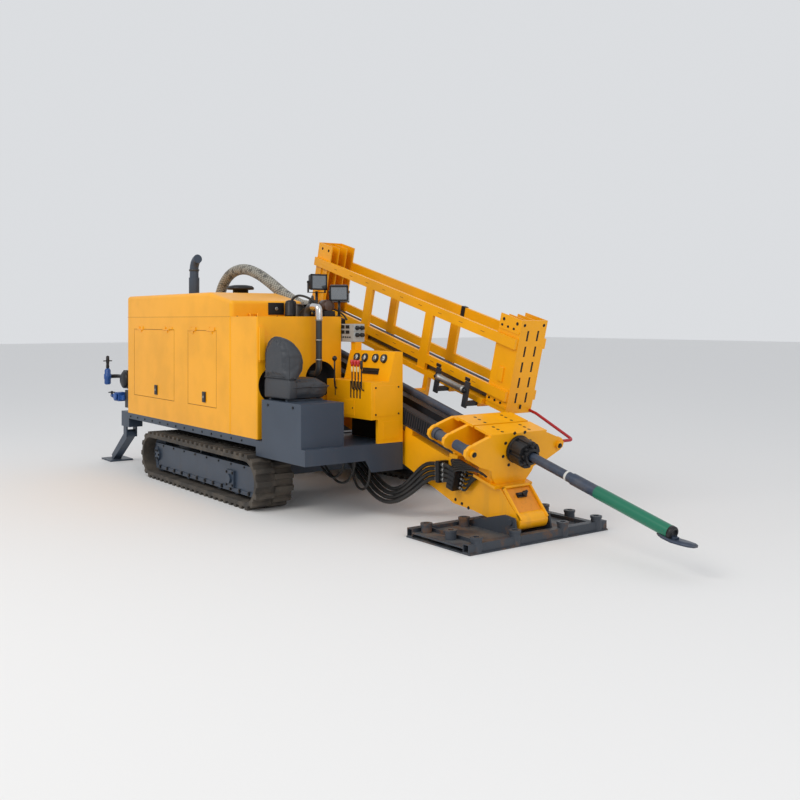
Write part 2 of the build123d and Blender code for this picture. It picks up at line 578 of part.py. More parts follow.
def vise_plate(s, thickness, low):
    right = wing_section(low)
    with BuildSketch(on_mast(Plane.YZ.offset(s))) as outline:
        with BuildLine():
            Polyline(*right, *[(-y, n) for y, n in reversed(right)], close=True)
        make_face()
        Circle(vise_bore, mode=Mode.SUBTRACT)
    extrude(outline.sketch, amount=thickness)


front_vise_s0, front_vise_s1 = -312, -120
plate_thick = 30
sleeve_outer = 62        # the wrench turns on this sleeve
wing_rod_radius = 38
rear_vise_s0, rear_vise_s1, rear_top_s1 = -585, -375, -330
rear_low = -200
vise_half, vise_side = 160, 30
hole_rows = (-135, 135)
with BuildPart(mast) as front_vise:
    vise_plate(front_vise_s1 - plate_thick, plate_thick, foot_top)
    bar(front_vise_s0, front_vise_s0 + 24, -vise_half, vise_half, foot_top, vise_top)
    bar(front_vise_s0, front_vise_s1, -280, 280, vise_top, vise_top + 18)
    for side in (1, -1):
        y0, y1 = sorted((side * (vise_half - vise_side), side * vise_half))
        bar(front_vise_s0, front_vise_s1 - plate_thick, y0, y1, foot_top, vise_top)
        rod_x(side * wing_y, wing_n, 30, front_vise_s1, front_vise_s1 + 22)
    rod_x(0, 0, sleeve_outer, rear_vise_s0, front_vise_s0)
    rod_x(0, 0, vise_bore, rear_vise_s0 - 1, front_vise_s1 + 1, mode=Mode.SUBTRACT)
    with Locations(*[(s, y, vise_top + 9) for s in (-265, -215, -165) for y in hole_rows]):
        Cylinder(14, 30, mode=Mode.SUBTRACT)

with BuildPart(mast) as rear_vise:
    vise_plate(rear_vise_s0, plate_thick, rear_low)
    vise_plate(rear_vise_s1 - plate_thick, plate_thick, rear_low)
    bar(rear_vise_s0 + 60, rear_top_s1, -280, 280, vise_top, vise_top + 18)
    bar(rear_vise_s0, rear_vise_s0 + 90, -280, 280, vise_top - 12, vise_top)
    for side in (1, -1):
        y0, y1 = sorted((side * (vise_half - vise_side), side * vise_half))
        bar(rear_vise_s0 + plate_thick, rear_vise_s1 - plate_thick, y0, y1, rear_low, vise_top)
    rod_x(0, 0, sleeve_outer + running_gap, rear_vise_s0 - 1, rear_vise_s1 + 1, mode=Mode.SUBTRACT)
    with Locations(*[(s, y, vise_top + 9) for s in (-480, -430, -365) for y in hole_rows]):
        Cylinder(14, 30, mode=Mode.SUBTRACT)

# Clamp cylinders at the wing tips, each with a collar where it meets its plate
collar_length, collar_rim = 36, 7
with BuildPart(mast) as vise_rods:
    rod_end = front_vise_s1 - plate_thick
    for side in (1, -1):
        rod_x(side * wing_y, wing_n, wing_rod_radius, front_vise_s0, rod_end)
        rod_x(side * wing_y, wing_n, wing_rod_radius + collar_rim, rod_end - collar_length, rod_end)
with BuildPart(mast) as wrench_rods:
    rod_start = rear_vise_s0 + plate_thick
    for side in (1, -1):
        rod_x(side * wing_y, wing_n, wing_rod_radius, rod_start, rear_vise_s1 - plate_thick)
        rod_x(side * wing_y, wing_n, wing_rod_radius + collar_rim, rod_start, rod_start + collar_length)

chuck_radius, chuck_s1 = 104, 55
jaw_circle, jaw_radius = 68, 13
with BuildPart(mast) as chuck:
    rod_x(0, 0, chuck_radius, front_vise_s1, chuck_s1 - 40)
    rod_x(0, 0, jaw_circle - jaw_radius / 2, chuck_s1 - 40, chuck_s1)
    for turn in range(0, 360, 45):
        rod_x(jaw_circle * cos(radians(turn)), jaw_circle * sin(radians(turn)), jaw_radius,
              chuck_s1 - 40, chuck_s1 - 15)
    for turn in range(0, 360, 60):   # bolt pockets round the body
        rod_x(chuck_radius * cos(radians(turn)), chuck_radius * sin(radians(turn)), 16,
              front_vise_s1 + 30, chuck_s1 - 39, mode=Mode.SUBTRACT)
    rod_x(0, 0, vise_bore, front_vise_s1 - 1, chuck_s1 + 1, mode=Mode.SUBTRACT)

# Rod rack on the +Y side: end boxes, two pairs of rails, posts, and a beam that carries it
rack_near, rack_far = 340, 620
rack_s0, rack_s1, box_depth = -3800, -650, 255
rack_low, rack_front_low, rack_high = 105, 60, 840
rack_rail_n = ((165, 245), (600, 685))
rack_wall, rack_rail_thick = 12, 30
post_ss, post_width = (-2740, -1780), 110
loader_arm_ss, loader_arm = (-1400, -1010), 36
with BuildPart(mast) as rod_rack:
    for s0, closed_s, low in ((rack_s0, rack_s0, rack_low),
                              (rack_s1 - box_depth, rack_s1 - rack_wall, rack_front_low)):
        for y in (rack_near, rack_far - rack_wall):
            bar(s0, s0 + box_depth, y, y + rack_wall, low, rack_high)
        bar(closed_s, closed_s + rack_wall, rack_near, rack_far, low, rack_high)
        for i in (1, 2):
            y = rack_near + i * (rack_far - rack_near) / 3
            bar(s0, s0 + box_depth, y - 4, y + 4, rack_low, rack_high - 10)
    for low, high in rack_rail_n:
        for y in (rack_near - rack_rail_thick, rack_far):
            bar(rack_s0, rack_s1 - 8, y, y + rack_rail_thick, low, high)
    for s in post_ss:
        for y in (rack_near - rack_rail_thick, rack_far):
            bar(s - post_width / 2, s + post_width / 2, y, y + rack_rail_thick, rack_low, rack_rail_n[1][0])

beam_rear, beam_front = rack_s0 + 20, rack_s1 - box_depth - 2
beam_margin = 20
with BuildPart(mast) as rack_beam:
    bar(beam_rear, beam_front, rack_near - 2 * beam_margin, rack_far + beam_margin, rack_front_low, rack_low)
    for s in (beam_rear + 480, beam_rear + 1280, beam_rear + 2080):
        bar(s, s + 60, rail_outer, rack_near - 2 * beam_margin, -180, -60)
        bar(s, s + 60, rack_near - 2 * beam_margin, rack_near, -180, rack_front_low)
    for s in loader_arm_ss:
        for edge in (s - seat_gap - 14, s + loader_arm + seat_gap):
            bar(edge, edge + 14, 320, 620, 20, 60)

spare_rod_length = 3000
with BuildPart(mast) as spare_rods:
    pass_y = (rack_far - rack_near) / 3
    for i in range(3):
        rod_x(rack_near + (i + 0.5) * pass_y, rack_low + rod_radius + seat_gap, rod_radius,
              rack_s0 + 60, rack_s0 + 60 + spare_rod_length)

# Drive head that slides on the rails, and the drill string in it
head_s0, head_s1 = -3350, -2750
head_half, head_top = 190, 260
pinion_radius, motor_radius = 40, 48
with BuildPart(mast) as drive_head:
    bar(head_s0, head_s1, -135, 135, rail_top + seat_gap, rail_top + 30)
    bar(head_s0 + 60, head_s1 - 60, -110, 110, rail_top + 30, 140)
    for side in (1, -1):
        rod_x(side * 90, 190, 60, head_s0, head_s1 - 250)
    pinion_y = -rack_tip_y - move_gap - pinion_radius
    for s in ((head_s0 + head_s1) / 2 - 110, (head_s0 + head_s1) / 2 + 110):
        bar(s - 60, s + 60, pinion_y, -130, rail_top + seat_gap, rail_top + 30)
        with Locations((s, pinion_y, rail_top + seat_gap - 45)):
            Cylinder(pinion_radius - 8, 90)
            with PolarLocations(pinion_radius - 8, 12):
                Box(12, 9, 90)
        with Locations((s, pinion_y, rail_top + 130)):
            Cylinder(motor_radius, 200)
            Cylinder(motor_radius + 10, 24)
    bar(head_s0 + 350, head_s1 - 100, -160, 160, 120, head_top)
    rod_x(0, 0, 45 + running_gap, head_s0 - 1, head_s1 + 1, mode=Mode.SUBTRACT)

blade_length, housing_length, sub_length, ring_length = 192, 640, 227, 50
tip_s = (half_length - string_x - 10) / pitch_cos
nose_s = tip_s - blade_length
sonde_s = nose_s - housing_length
string_sub_s = sonde_s - sub_length - ring_length
with BuildPart(mast) as drill_rod:
    rod_x(0, 0, 45, head_s0, head_s1)
    rod_x(0, 0, rod_radius, head_s1, string_sub_s)
    rod_x(0, 0, 36, string_sub_s, string_sub_s + ring_length)
    rod_x(0, 0, 42, string_sub_s + ring_length, sonde_s)
with BuildPart(mast) as sonde_housing:
    rod_x(0, 0, 44, sonde_s, nose_s)
with BuildPart(mast) as blade:
    rod_x(0, 0, 32, nose_s, nose_s + 30)
    bar(nose_s + 30, tip_s, -50, 50, -20, -5)

# Rod loader arms under the rack
with BuildPart(mast) as rod_loader:
    for s in loader_arm_ss:
        bar(s, s + loader_arm, 200, 560, 60 - seat_gap - loader_arm, 60 - seat_gap)
        bar(s - 10, s + loader_arm + 10, 185, 200, 10, 230)
    rod_x(192.5, 150, 26, loader_arm_ss[0] + loader_arm + 10, loader_arm_ss[1] - 10)

# Lift cylinder between the chassis and the mast
lift_angle = degrees(atan2(lift_eye_z - lift_base_z, lift_eye_x - lift_base_x))
lift_length = hypot(lift_eye_z - lift_base_z, lift_eye_x - lift_base_x)
barrel_length, barrel_radius, lift_rod_radius = 505, 50, 28
lift_stroke, eye_clearance = 341, 4      # the eye is free of its pin by this, because its path isn't quite round
lift = Plane(origin=(lift_base_x, 0, lift_base_z),
             x_dir=(cos(radians(lift_angle)), 0, sin(radians(lift_angle))),
             z_dir=(-sin(radians(lift_angle)), 0, cos(radians(lift_angle))))
lift_eye_half = lift_ear_inner - seat_gap
with BuildPart(lift) as lift_barrel:
    rod_x(0, 0, lift_eye_half - 5, 20, 60)
    rod_x(0, 0, barrel_radius, 60, barrel_length)
    rod_y(0, 0, 36, -lift_eye_half, lift_eye_half)
    rod_y(0, 0, lift_pin_radius + running_gap, -lift_eye_half - 1, lift_eye_half + 1, mode=Mode.SUBTRACT)
    rod_x(0, 0, lift_rod_radius + running_gap, 75, barrel_length + 1, mode=Mode.SUBTRACT)
with BuildPart(lift) as lift_rod:
    rod_x(0, 0, lift_rod_radius, 75 + 8 + lift_stroke, lift_length - 30)
    rod_y(lift_length, 0, 45, -lift_eye_half, lift_eye_half)
    rod_y(lift_length, 0, lift_pin_radius + eye_clearance, -lift_eye_half - 1, lift_eye_half + 1,
          mode=Mode.SUBTRACT)

# Stabilizer legs
pad_length, pad_y0, pad_y1, pad_thick = 300, 860, 1120, 16
pad_x0 = -half_length
ankle_x, ankle_half, ankle_height = pad_x0 + 170, 50, 40
strut_top_half, strut_foot_half = 44, 34
strut_run, strut_rise = leg_pivot_x - ankle_x, leg_pivot_z - pad_thick - 20
strut_length = hypot(strut_run, strut_rise)
across_x, across_z = -strut_rise / strut_length, strut_run / strut_length
for side, name in ((1, "leg_left"), (-1, "leg_right")):
    with BuildPart() as leg:
        y0, y1 = sorted((side * (leg_y - leg_half_width), side * (leg_y + leg_half_width)))
        with BuildSketch(Plane.XZ.offset(-y1)):
            with BuildLine():
                Polyline(*[(x + half * across_x, z + half * across_z) for x, z, half in (
                    (leg_pivot_x, leg_pivot_z, strut_top_half), (ankle_x, pad_thick + 20, strut_foot_half),
                    (ankle_x, pad_thick + 20, -strut_foot_half), (leg_pivot_x, leg_pivot_z, -strut_top_half))],
                    close=True)
            make_face()
        extrude(amount=2 * leg_half_width)
        rod_y(leg_pivot_x, leg_pivot_z, 44, y0, y1)
        rod_y(leg_pivot_x, leg_pivot_z, leg_pin_radius + running_gap, y0 - 1, y1 + 1, mode=Mode.SUBTRACT)
        y0, y1 = sorted((side * pad_y0, side * pad_y1))
        bar(pad_x0, pad_x0 + pad_length, y0, y1, 0, pad_thick)
        bar(pad_x0 - 1, pad_x0 + pad_length + 1, y0 - 1, y1 + 1, -ankle_half, 0, mode=Mode.SUBTRACT)
        y0, y1 = sorted((side * (leg_y - 30), side * (leg_y + 30)))
        bar(ankle_x - ankle_half, ankle_x + ankle_half, y0, y1, pad_thick, pad_thick + ankle_height)
    save(leg, name)

# Controls on the console: round gauges and a display on the slope, levers out of their slots
def panel_y(z):
    """Y of the console's sloping panel at a height."""
    return panel_y0 + (z - console_z1) / (console_top_z - console_z1) * (panel_y1 - panel_y0)


panel_tilt = degrees(atan2(panel_y1 - panel_y0, console_top_z - console_z1))
gauge_xs, gauge_z, gauge_radius, gauge_depth = (328, 452, 610, 734), 1275, 30, 14
display_x0, display_x1, display_z0, display_z1 = 458, 690, 1142, 1190


def panel_plane(x, z):
    """A plane on the sloping panel that faces out of it."""
    face = Plane(origin=(x, panel_y(z), z), x_dir=(1, 0, 0), z_dir=(0, -cos(radians(panel_tilt)),
                                                                    sin(radians(panel_tilt))))
    return face


with BuildPart() as gauges:
    for x in gauge_xs:
        with BuildSketch(panel_plane(x, gauge_z)):
            Circle(gauge_radius)
        extrude(amount=gauge_depth)
    middle_x = (display_x0 + display_x1) / 2
    with BuildSketch(panel_plane(middle_x, (display_z0 + display_z1) / 2)):
        Rectangle(display_x1 - display_x0, display_z1 - display_z0)
    extrude(amount=10)

lever_y, lever_radius, lever_foot_z, lever_knob_z = -505, 7, 1020, 1250
levers_at = ((348, 1270, 20), (622, lever_knob_z, 14), (668, lever_knob_z, 14), (714, lever_knob_z, 14),
             (760, lever_knob_z, 9))   # x, knob height, knob radius
with BuildPart() as levers:
    for x, knob_z, knob_radius in levers_at:
        rod_z(x, lever_y, lever_radius, lever_foot_z - lever_radius, knob_z)
        rod_y(x, lever_foot_z, lever_radius, lever_y, console_y0)
        rod_z(x, lever_y, knob_radius, knob_z - knob_radius, knob_z + knob_radius)

# Electrical box above the console
with BuildPart() as control_box:
    bar(ebox_x0, ebox_x1, ebox_y0, ebox_y1, ebox_z0, ebox_z1)

# Work lights on posts that stand on the tank
light_width, light_height, light_depth = 167, 142, 85
lights_at = ((-42, -444, 1937, 0, 0), (60, -272, 1850, -35, 18))   # x, y, z, turn, nod
with BuildPart() as work_lights:
    for x, y, z, turn, nod in lights_at:
        with Locations(Location((x, y, z), (0, nod, turn))):
            Box(light_depth, light_width, light_height)
        rod_z(x, y, 12, tank_top_z, z - light_height / 2 + 20)

# Suction riser in front of the tank: out of an arch, up, and over on to the tank top
riser_x, riser_y, riser_radius, riser_bend = 185, -560, 27, 70
riser_low_z, riser_high_z = 1130, 1715
with BuildPart() as riser_pipe:
    with BuildLine():
        FilletPolyline((tank_front_x - arch_depth, riser_y, riser_low_z), (riser_x, riser_y, riser_low_z),
                       (riser_x, riser_y, riser_high_z), (-20, riser_y, riser_high_z),
                       (-20, riser_y, tank_top_z), radius=riser_bend)
    with BuildSketch(Plane.YZ.offset(tank_front_x - arch_depth)):
        with Locations((riser_y, riser_low_z)):
            Circle(riser_radius)
    sweep()

# Filters, valve blocks and the hose drum on the tank top
with BuildPart() as tank_fittings:
    rod_z(-300, -560, 55, tank_top_z, tank_top_z + 150)
    bar(-330, -270, -360, -260, tank_top_z, tank_top_z + 160)
    bar(-215, -110, -520, -340, tank_top_z, tank_top_z + 120)
    bar(-90, 40, -410, -300, tank_top_z, tank_top_z + 50)
    rod_x(-355, tank_top_z + 95, 55, -85, 35)

# Mud pump behind the hood, on its bracket
pump_x0, pump_x1, pump_y0, pump_y1, pump_z0, pump_z1 = -3280, -2950, -1075, -800, 830, 1040
fitting_x, fitting_y, feed_y = -3470, -1120, -1000
with BuildPart() as mud_pump:
    bar(pump_x0, pump_x1, pump_y0 + 60, pump_y1, pump_z0, pump_z1)
    rod_y(pump_x0 + 130, (pump_z0 + pump_z1) / 2, 95, pump_y0, pump_y0 + 60)
    bar(-3010, hood_rear_x, -1090, -820, 640, pump_z0)
    rod_x(feed_y, 960, 24, fitting_x, pump_x0)
    rod_y(fitting_x, 960, 24, fitting_y, feed_y)
    rod_z(fitting_x, fitting_y, 36, 870, 1050)
    rod_z(fitting_x, fitting_y, 20, 1050, 1195)
with BuildPart() as mud_valve:
    bar(-3200, -3110, -1130, -1040, 690, 810)
    rod_x(-1085, 745, 18, -3430, -3200)
    rod_z(-3430, -1085, 40, 760, 800)
    rod_z(-3430, -1085, 14, 727, 760)
    bar(-3110, -3010, -1110, -1060, 720, 770)

# Red guard bar from the rack round to the vise's left wing
guard_radius = 12
guard_s = front_vise_s1 - plate_thick / 2
guard_path = ((rack_s1, 605, 80), (rack_s1 + 80, 605, 80), (guard_s, 605, 15),
              (guard_s, wing_y + wing_radius, 15))   # s, y, n
with BuildPart() as guard_bar:
    corners = [mast.from_local_coords(Vector(*point)) for point in guard_path]
    with BuildLine():
        FilletPolyline(*corners, radius=35)
    with BuildSketch(Plane(origin=corners[0], z_dir=corners[1] - corners[0])):
        Circle(guard_radius)
    sweep()

# Valve block under the vise, and the clamp that holds the mast's hoses to the lower beam
clamp_x0, clamp_x1, clamp_y, clamp_z0, clamp_z1 = 1390, 1430, -195, 325, 495
valve_s0, valve_s1, valve_y, valve_n0, valve_n1 = -560, -480, -235, -470, -290
with BuildPart() as hose_clamp:
    bar(clamp_x0, clamp_x1, clamp_y - 35, -beam_half, clamp_z0, clamp_z1)
with BuildPart(mast) as valve_block:
    bar(valve_s0, valve_s1, valve_y, -foot_half, valve_n0, valve_n1)

# Braided hose bundle from a gland beside the hood over to the tank top
sleeve_radius = 55
sleeve_y, sleeve_low_x, sleeve_low_z, sleeve_end_x, sleeve_end_z = -305, -2330, 1440, -330, 1725
with BuildPart() as hose_gland:
    bar(sleeve_low_x - 60, sleeve_low_x + 60, hood_inner_y, sleeve_y + 60, 1300, sleeve_low_z)
sleeve_route = [(sleeve_low_x, sleeve_y, sleeve_low_z), (sleeve_low_x, sleeve_y, 1700),
                (-2250, sleeve_y, 1940), (-2030, sleeve_y, 2100), (-1720, sleeve_y, 2140),
                (-1410, sleeve_y, 2075), (-1130, sleeve_y, 1965), (-880, sleeve_y, 1850),
                (-660, sleeve_y, sleeve_end_z + 45), (-490, sleeve_y, sleeve_end_z),
                (sleeve_end_x, sleeve_y, sleeve_end_z)]
hose_radius, pilot_radius = 17, 10
first_mast_hose = (
    (deck_front_x, -240, 465), (140, -240, 465), (280, -246, 442), (430, -256, 390), (590, -268, 308),
    (730, -276, 240), (850, -279, 206), (945, -272, 216), (1028, -256, 262), (1102, -232, 338),
    (1180, -204, 420), (1276, clamp_y, 465), (clamp_x0, clamp_y, 465))
last_mast_hose = (
    (deck_front_x, -366, 465), (140, -366, 465), (280, -366, 418), (430, -376, 346), (590, -376, 240),
    (740, -374, 150), (880, -364, 112), (995, -346, 124), (1095, -312, 172), (1168, -262, 236),
    (1232, -214, 308), (1304, clamp_y, 351), (clamp_x0, clamp_y, 351))
mast_hose_count = 4
hose_pitch = (first_mast_hose[-1][2] - last_mast_hose[-1][2]) / (mast_hose_count - 1)
hose_routes = {}
for i in range(mast_hose_count):
    share = i / (mast_hose_count - 1)
    hose_routes[f"mast_hose_{i + 1}"] = [Vector(*a) * (1 - share) + Vector(*b) * share
                                         for a, b in zip(first_mast_hose, last_mast_hose)]
hose_end_z = platform_top_z - plate
hose_routes["pilot_hose_1"] = [
    (deck_front_x, -560, 470), (135, -560, 470), (235, -552, 390), (330, -540, 285), (440, -522, 220),
    (550, -508, 240), (630, -502, 320), (665, -500, 440), (665, -500, hose_end_z)]
hose_routes["pilot_hose_2"] = [
    (deck_front_x, -610, 470), (130, -610, 470), (215, -604, 415), (300, -592, 330), (400, -580, 270),
    (500, -568, 285), (570, -562, 360), (600, -560, 460), (600, -560, hose_end_z)]
hose_routes["pilot_hose_3"] = [
    (560, -460, hose_end_z), (560, -460, 400), (580, -460, 265), (650, -460, 195), (740, -460, 200),
    (805, -460, 275), (820, -460, 400), (820, -460, hose_end_z)]


def bend_radii(points):
    """As large an arc at each corner as its two runs allow."""
    vectors = [Vector(*point) for point in points]
    radii = []
    for before, corner, after in zip(vectors, vectors[1:], vectors[2:]):
        turn = (corner - before).get_angle(after - corner)
        shorter = min((corner - before).length, (after - corner).length)
        radii.append(0.45 * shorter / tan(radians(turn) / 2))
    return radii


def lay_hose(points, radius):
    """A tube along straight runs joined by tangent arcs."""
    with BuildPart() as hose:
        with BuildLine():
            FilletPolyline(*points, radius=bend_radii(points))
        start, second = Vector(*points[0]), Vector(*points[1])
        with BuildSketch(Plane(origin=start, z_dir=second - start)):
            Circle(radius)
        sweep()
    return hose


# Short hoses from the clamp to the valve block under the vise
with BuildPart() as vise_hoses:
    for i in range(mast_hose_count):
        start = Vector(clamp_x1, clamp_y, first_mast_hose[-1][2] - hose_pitch * i)
        bend_at = start + Vector(60, 0, 0)
        bend_n = mast.to_local_coords(bend_at).Z
        with BuildLine():
            FilletPolyline(start, bend_at, mast.from_local_coords(Vector(valve_s0, clamp_y, bend_n)), radius=120)
        with BuildSketch(Plane(origin=start, z_dir=(1, 0, 0))):
            Circle(hose_radius)
        sweep()

for name, points, radius in (("hose_sleeve", sleeve_route, sleeve_radius),
                             *((name, points, pilot_radius if name.startswith("pilot") else hose_radius)
                               for name, points in hose_routes.items())):
    print(name, "bend radii", [round(value) for value in bend_radii(points)])
    save(lay_hose(points, radius), name)

for name, piece in (
    ("gauges", gauges), ("levers", levers), ("control_box", control_box),
    ("work_lights", work_lights), ("riser_pipe", riser_pipe), ("tank_fittings", tank_fittings),
    ("mud_pump", mud_pump), ("mud_valve", mud_valve),
    ("guard_bar", guard_bar), ("hose_clamp", hose_clamp), ("valve_block", valve_block),
    ("vise_hoses", vise_hoses), ("hose_gland", hose_gland),
    ("track_frames", track_frames), ("track_wheels", track_wheels), ("chassis", chassis),
    ("platform", platform), ("hood", hood), ("engine_block", engine_block),
    ("tank_cabinet", tank_cabinet), ("exhaust", exhaust), ("intake_cap", intake_cap),
    ("seat_box", seat_box), ("seat", seat),
    ("console", console), ("mast_rails", mast_rails), ("lower_beam", lower_beam), ("foot", foot),
    ("anchor_plate", anchor_plate), ("front_vise", front_vise), ("rear_vise", rear_vise),
    ("chuck", chuck), ("rod_rack", rod_rack), ("rack_beam", rack_beam), ("spare_rods", spare_rods),
    ("drive_head", drive_head), ("drill_rod", drill_rod), ("vise_rods", vise_rods),
    ("wrench_rods", wrench_rods), ("rear_grille", rear_grille),
    ("sonde_housing", sonde_housing), ("blade", blade), ("rod_loader", rod_loader),
    ("lift_barrel", lift_barrel), ("lift_rod", lift_rod),
):
    save(piece, name)
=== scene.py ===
# Horizontal directional drill on rubber tracks: its looks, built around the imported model.
# Metres, +X forward to the drill head, +Y to the machine's left, +Z up.
import json
import math

import bmesh
import bpy
from mathutils import Matrix, Vector, noise


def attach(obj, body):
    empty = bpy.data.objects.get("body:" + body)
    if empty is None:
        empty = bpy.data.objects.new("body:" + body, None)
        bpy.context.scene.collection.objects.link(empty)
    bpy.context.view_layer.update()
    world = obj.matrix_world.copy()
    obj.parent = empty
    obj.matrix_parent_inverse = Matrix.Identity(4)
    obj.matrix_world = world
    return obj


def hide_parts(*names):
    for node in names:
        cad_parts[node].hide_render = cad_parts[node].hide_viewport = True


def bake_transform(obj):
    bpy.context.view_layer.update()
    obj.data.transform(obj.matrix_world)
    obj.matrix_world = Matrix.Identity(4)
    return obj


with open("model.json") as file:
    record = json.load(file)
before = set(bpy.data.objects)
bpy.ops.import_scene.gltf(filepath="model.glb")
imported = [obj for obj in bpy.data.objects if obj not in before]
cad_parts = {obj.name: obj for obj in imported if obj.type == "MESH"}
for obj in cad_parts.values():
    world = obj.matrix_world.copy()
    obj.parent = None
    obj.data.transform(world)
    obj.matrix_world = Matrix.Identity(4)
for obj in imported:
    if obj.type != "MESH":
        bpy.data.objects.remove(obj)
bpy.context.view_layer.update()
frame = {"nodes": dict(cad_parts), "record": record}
nodes = frame["nodes"]
print("frame loaded:", len(nodes), "nodes")

# The mast's own frame: x along the drill string, y across, z square to both
mast = {"string": (2.186, 0, 0.615), "pitch": math.radians(15)}
mastPlace = Matrix.Translation(mast["string"]) @ Matrix.Rotation(mast["pitch"], 4, "Y")


def onMast(x, y, z):
    return mastPlace @ Vector((x, y, z))


# shader maths as plain expressions
class Value:  # one number or colour inside a material
    def __init__(self, paint, socket):
        self.paint, self.socket = paint, socket

    def maths(self, operation, *others):
        return self.paint.node("ShaderNodeMath", {"operation": operation}, [self, *others])

    def __add__(self, other): return self.maths("ADD", other)
    def __sub__(self, other): return self.maths("SUBTRACT", other)
    def __rsub__(self, other): return self.paint.node("ShaderNodeMath", {"operation": "SUBTRACT"},
                                                      [other, self])
    def __mul__(self, other): return self.maths("MULTIPLY", other)
    def fraction(self): return self.maths("FRACT")
    def distance(self): return self.maths("ABSOLUTE")

    def clamped(self):
        return self.paint.node("ShaderNodeClamp", {}, [self, 0.0, 1.0])

    def step(self, low, high):  # 0 below low, 1 above high, smooth between
        return self.paint.node("ShaderNodeMapRange", {"interpolation_type": "SMOOTHSTEP"},
                               {"Value": self, "From Min": low, "From Max": high})


class Paint:  # a material and the way to add nodes to it
    def __init__(self, name, metallic=0.0, coat=0.0, sheen=0.0):
        self.material = bpy.data.materials.new(name)
        self.material.use_nodes = True
        self.tree = self.material.node_tree
        self.surface = self.tree.nodes["Principled BSDF"]
        self.surface.inputs["Metallic"].default_value = metallic
        self.surface.inputs["Coat Weight"].default_value = coat
        self.surface.inputs["Coat Roughness"].default_value = 0.12
        self.surface.inputs["Sheen Weight"].default_value = sheen
        self.coordinates = self.tree.nodes.new("ShaderNodeTexCoord")

    def feed(self, socket, value):  # a link from another node, or a constant
        if isinstance(value, Value):
            self.tree.links.new(value.socket, socket)
        elif isinstance(value, tuple) and len(socket.default_value) == 4:
            socket.default_value = (*value, 1)
        else:
            socket.default_value = value

    def node(self, kind, settings, inputs, output=0):
        made = self.tree.nodes.new(kind)
        for name, value in settings.items():
            setattr(made, name, value)
        for key, value in inputs.items() if isinstance(inputs, dict) else enumerate(inputs):
            self.feed(made.inputs[key], value)
        return Value(self, made.outputs[output])

    def noise(self, scale, detail=3.0, rough=0.55, stretch=(1, 1, 1)):
        place = self.node("ShaderNodeMapping", {}, {
            "Vector": Value(self, self.coordinates.outputs["Object"]), "Scale": stretch})
        return self.node("ShaderNodeTexNoise", {}, {
            "Vector": place, "Scale": scale, "Detail": detail, "Roughness": rough})

    def axis(self, name, of="Object"):  # one part of the place, of the surface's direction or of its UV
        return self.node("ShaderNodeSeparateXYZ", {}, [Value(self, self.coordinates.outputs[of])],
                         "XYZ".index(name))

    def blend(self, factor, first, second):
        return self.node("ShaderNodeMix", {"data_type": "RGBA"}, {0: factor, 6: first, 7: second}, 2)

    def set(self, colour, roughness, height=None, depth=0.001):
        self.feed(self.surface.inputs["Base Color"], colour)
        self.feed(self.surface.inputs["Roughness"], roughness)
        if height is not None:
            bump = self.node("ShaderNodeBump", {}, {"Height": height, "Distance": depth, "Strength": 1.0})
            self.feed(self.surface.inputs["Normal"], bump)
        return self.material


def sheetPaint(name, colour, dust, rough=0.34, coat=0.25, dirtTop=0.7, chips=0.0,
               chipColour=(0.05, 0.05, 0.05)):
    # Sprayed sheet metal: faint mottling, dust low down and on ledges, chips where asked
    paint = Paint(name, coat=coat)
    paint.surface.inputs["Specular IOR Level"].default_value = 0.35
    mottle = paint.noise(2.2, 4)
    fine = paint.noise(60, 3)
    streak = paint.noise(9, 4, stretch=(1, 1, 0.14))
    low = 1 - paint.axis("Z").step(0.05, dirtTop)
    ledge = paint.axis("Z", "Normal").step(0.6, 0.95)
    grime = (low * 0.5 + ledge * 0.10 + 0.02) * streak.step(0.48, 0.74)
    darker = tuple(c * 0.88 for c in colour)
    base = paint.blend(mottle.step(0.35, 0.7), colour, darker)
    dusty = paint.blend((grime * 0.7).clamped(), base, dust)
    if chips:
        spots = paint.noise(34, 5, 0.7).step(0.70 - 0.04 * chips, 0.72 - 0.04 * chips)
        dusty = paint.blend(spots * chips, dusty, chipColour)
    return paint.set(dusty, grime * 0.4 + mottle * 0.1 + (rough - 0.05), fine * 0.3 + mottle, 0.0004)


def rubberPaint(name, colour, dust, rough=0.72, amount=0.5):
    paint = Paint(name)
    mottle, fine = paint.noise(6, 5), paint.noise(120, 3)
    mud = (mottle.step(0.38, 0.62) * amount + fine.step(0.5, 0.7) * 0.15).clamped()
    return paint.set(paint.blend(mud, colour, dust), mud * 0.2 + rough, fine + mottle, 0.001)


def steelPaint(name, colour, worn, rough=0.4, metallic=0.75, amount=0.5):
    paint = Paint(name, metallic)
    mottle, fine = paint.noise(7, 5), paint.noise(90, 4)
    wear = (mottle.step(0.4, 0.65) * amount + fine.step(0.55, 0.75) * 0.2).clamped()
    return paint.set(paint.blend(wear, colour, worn), mottle * 0.25 + (rough - 0.1), fine, 0.0004)


def braidPaint(name):
    # Braided sleeve: crossing strands that follow the hose's own UV map, some pale, some black
    paint = Paint(name, sheen=0.2)
    u, v = paint.axis("X", "UV") * 9, paint.axis("Y", "UV") * 9
    left, right = ((turn.fraction() - 0.5).distance() for turn in (u + v, u - v))
    strands = paint.node("ShaderNodeMath", {"operation": "MAXIMUM"}, [left, right])
    wander = paint.noise(16, 3)
    dark = (strands.step(0.36, 0.46) + wander.step(0.5, 0.62) * 0.75).clamped()
    colour = paint.blend(dark, (0.36, 0.345, 0.29), (0.025, 0.025, 0.024))
    return paint.set(colour, 0.8, 1 - strands, 0.004)


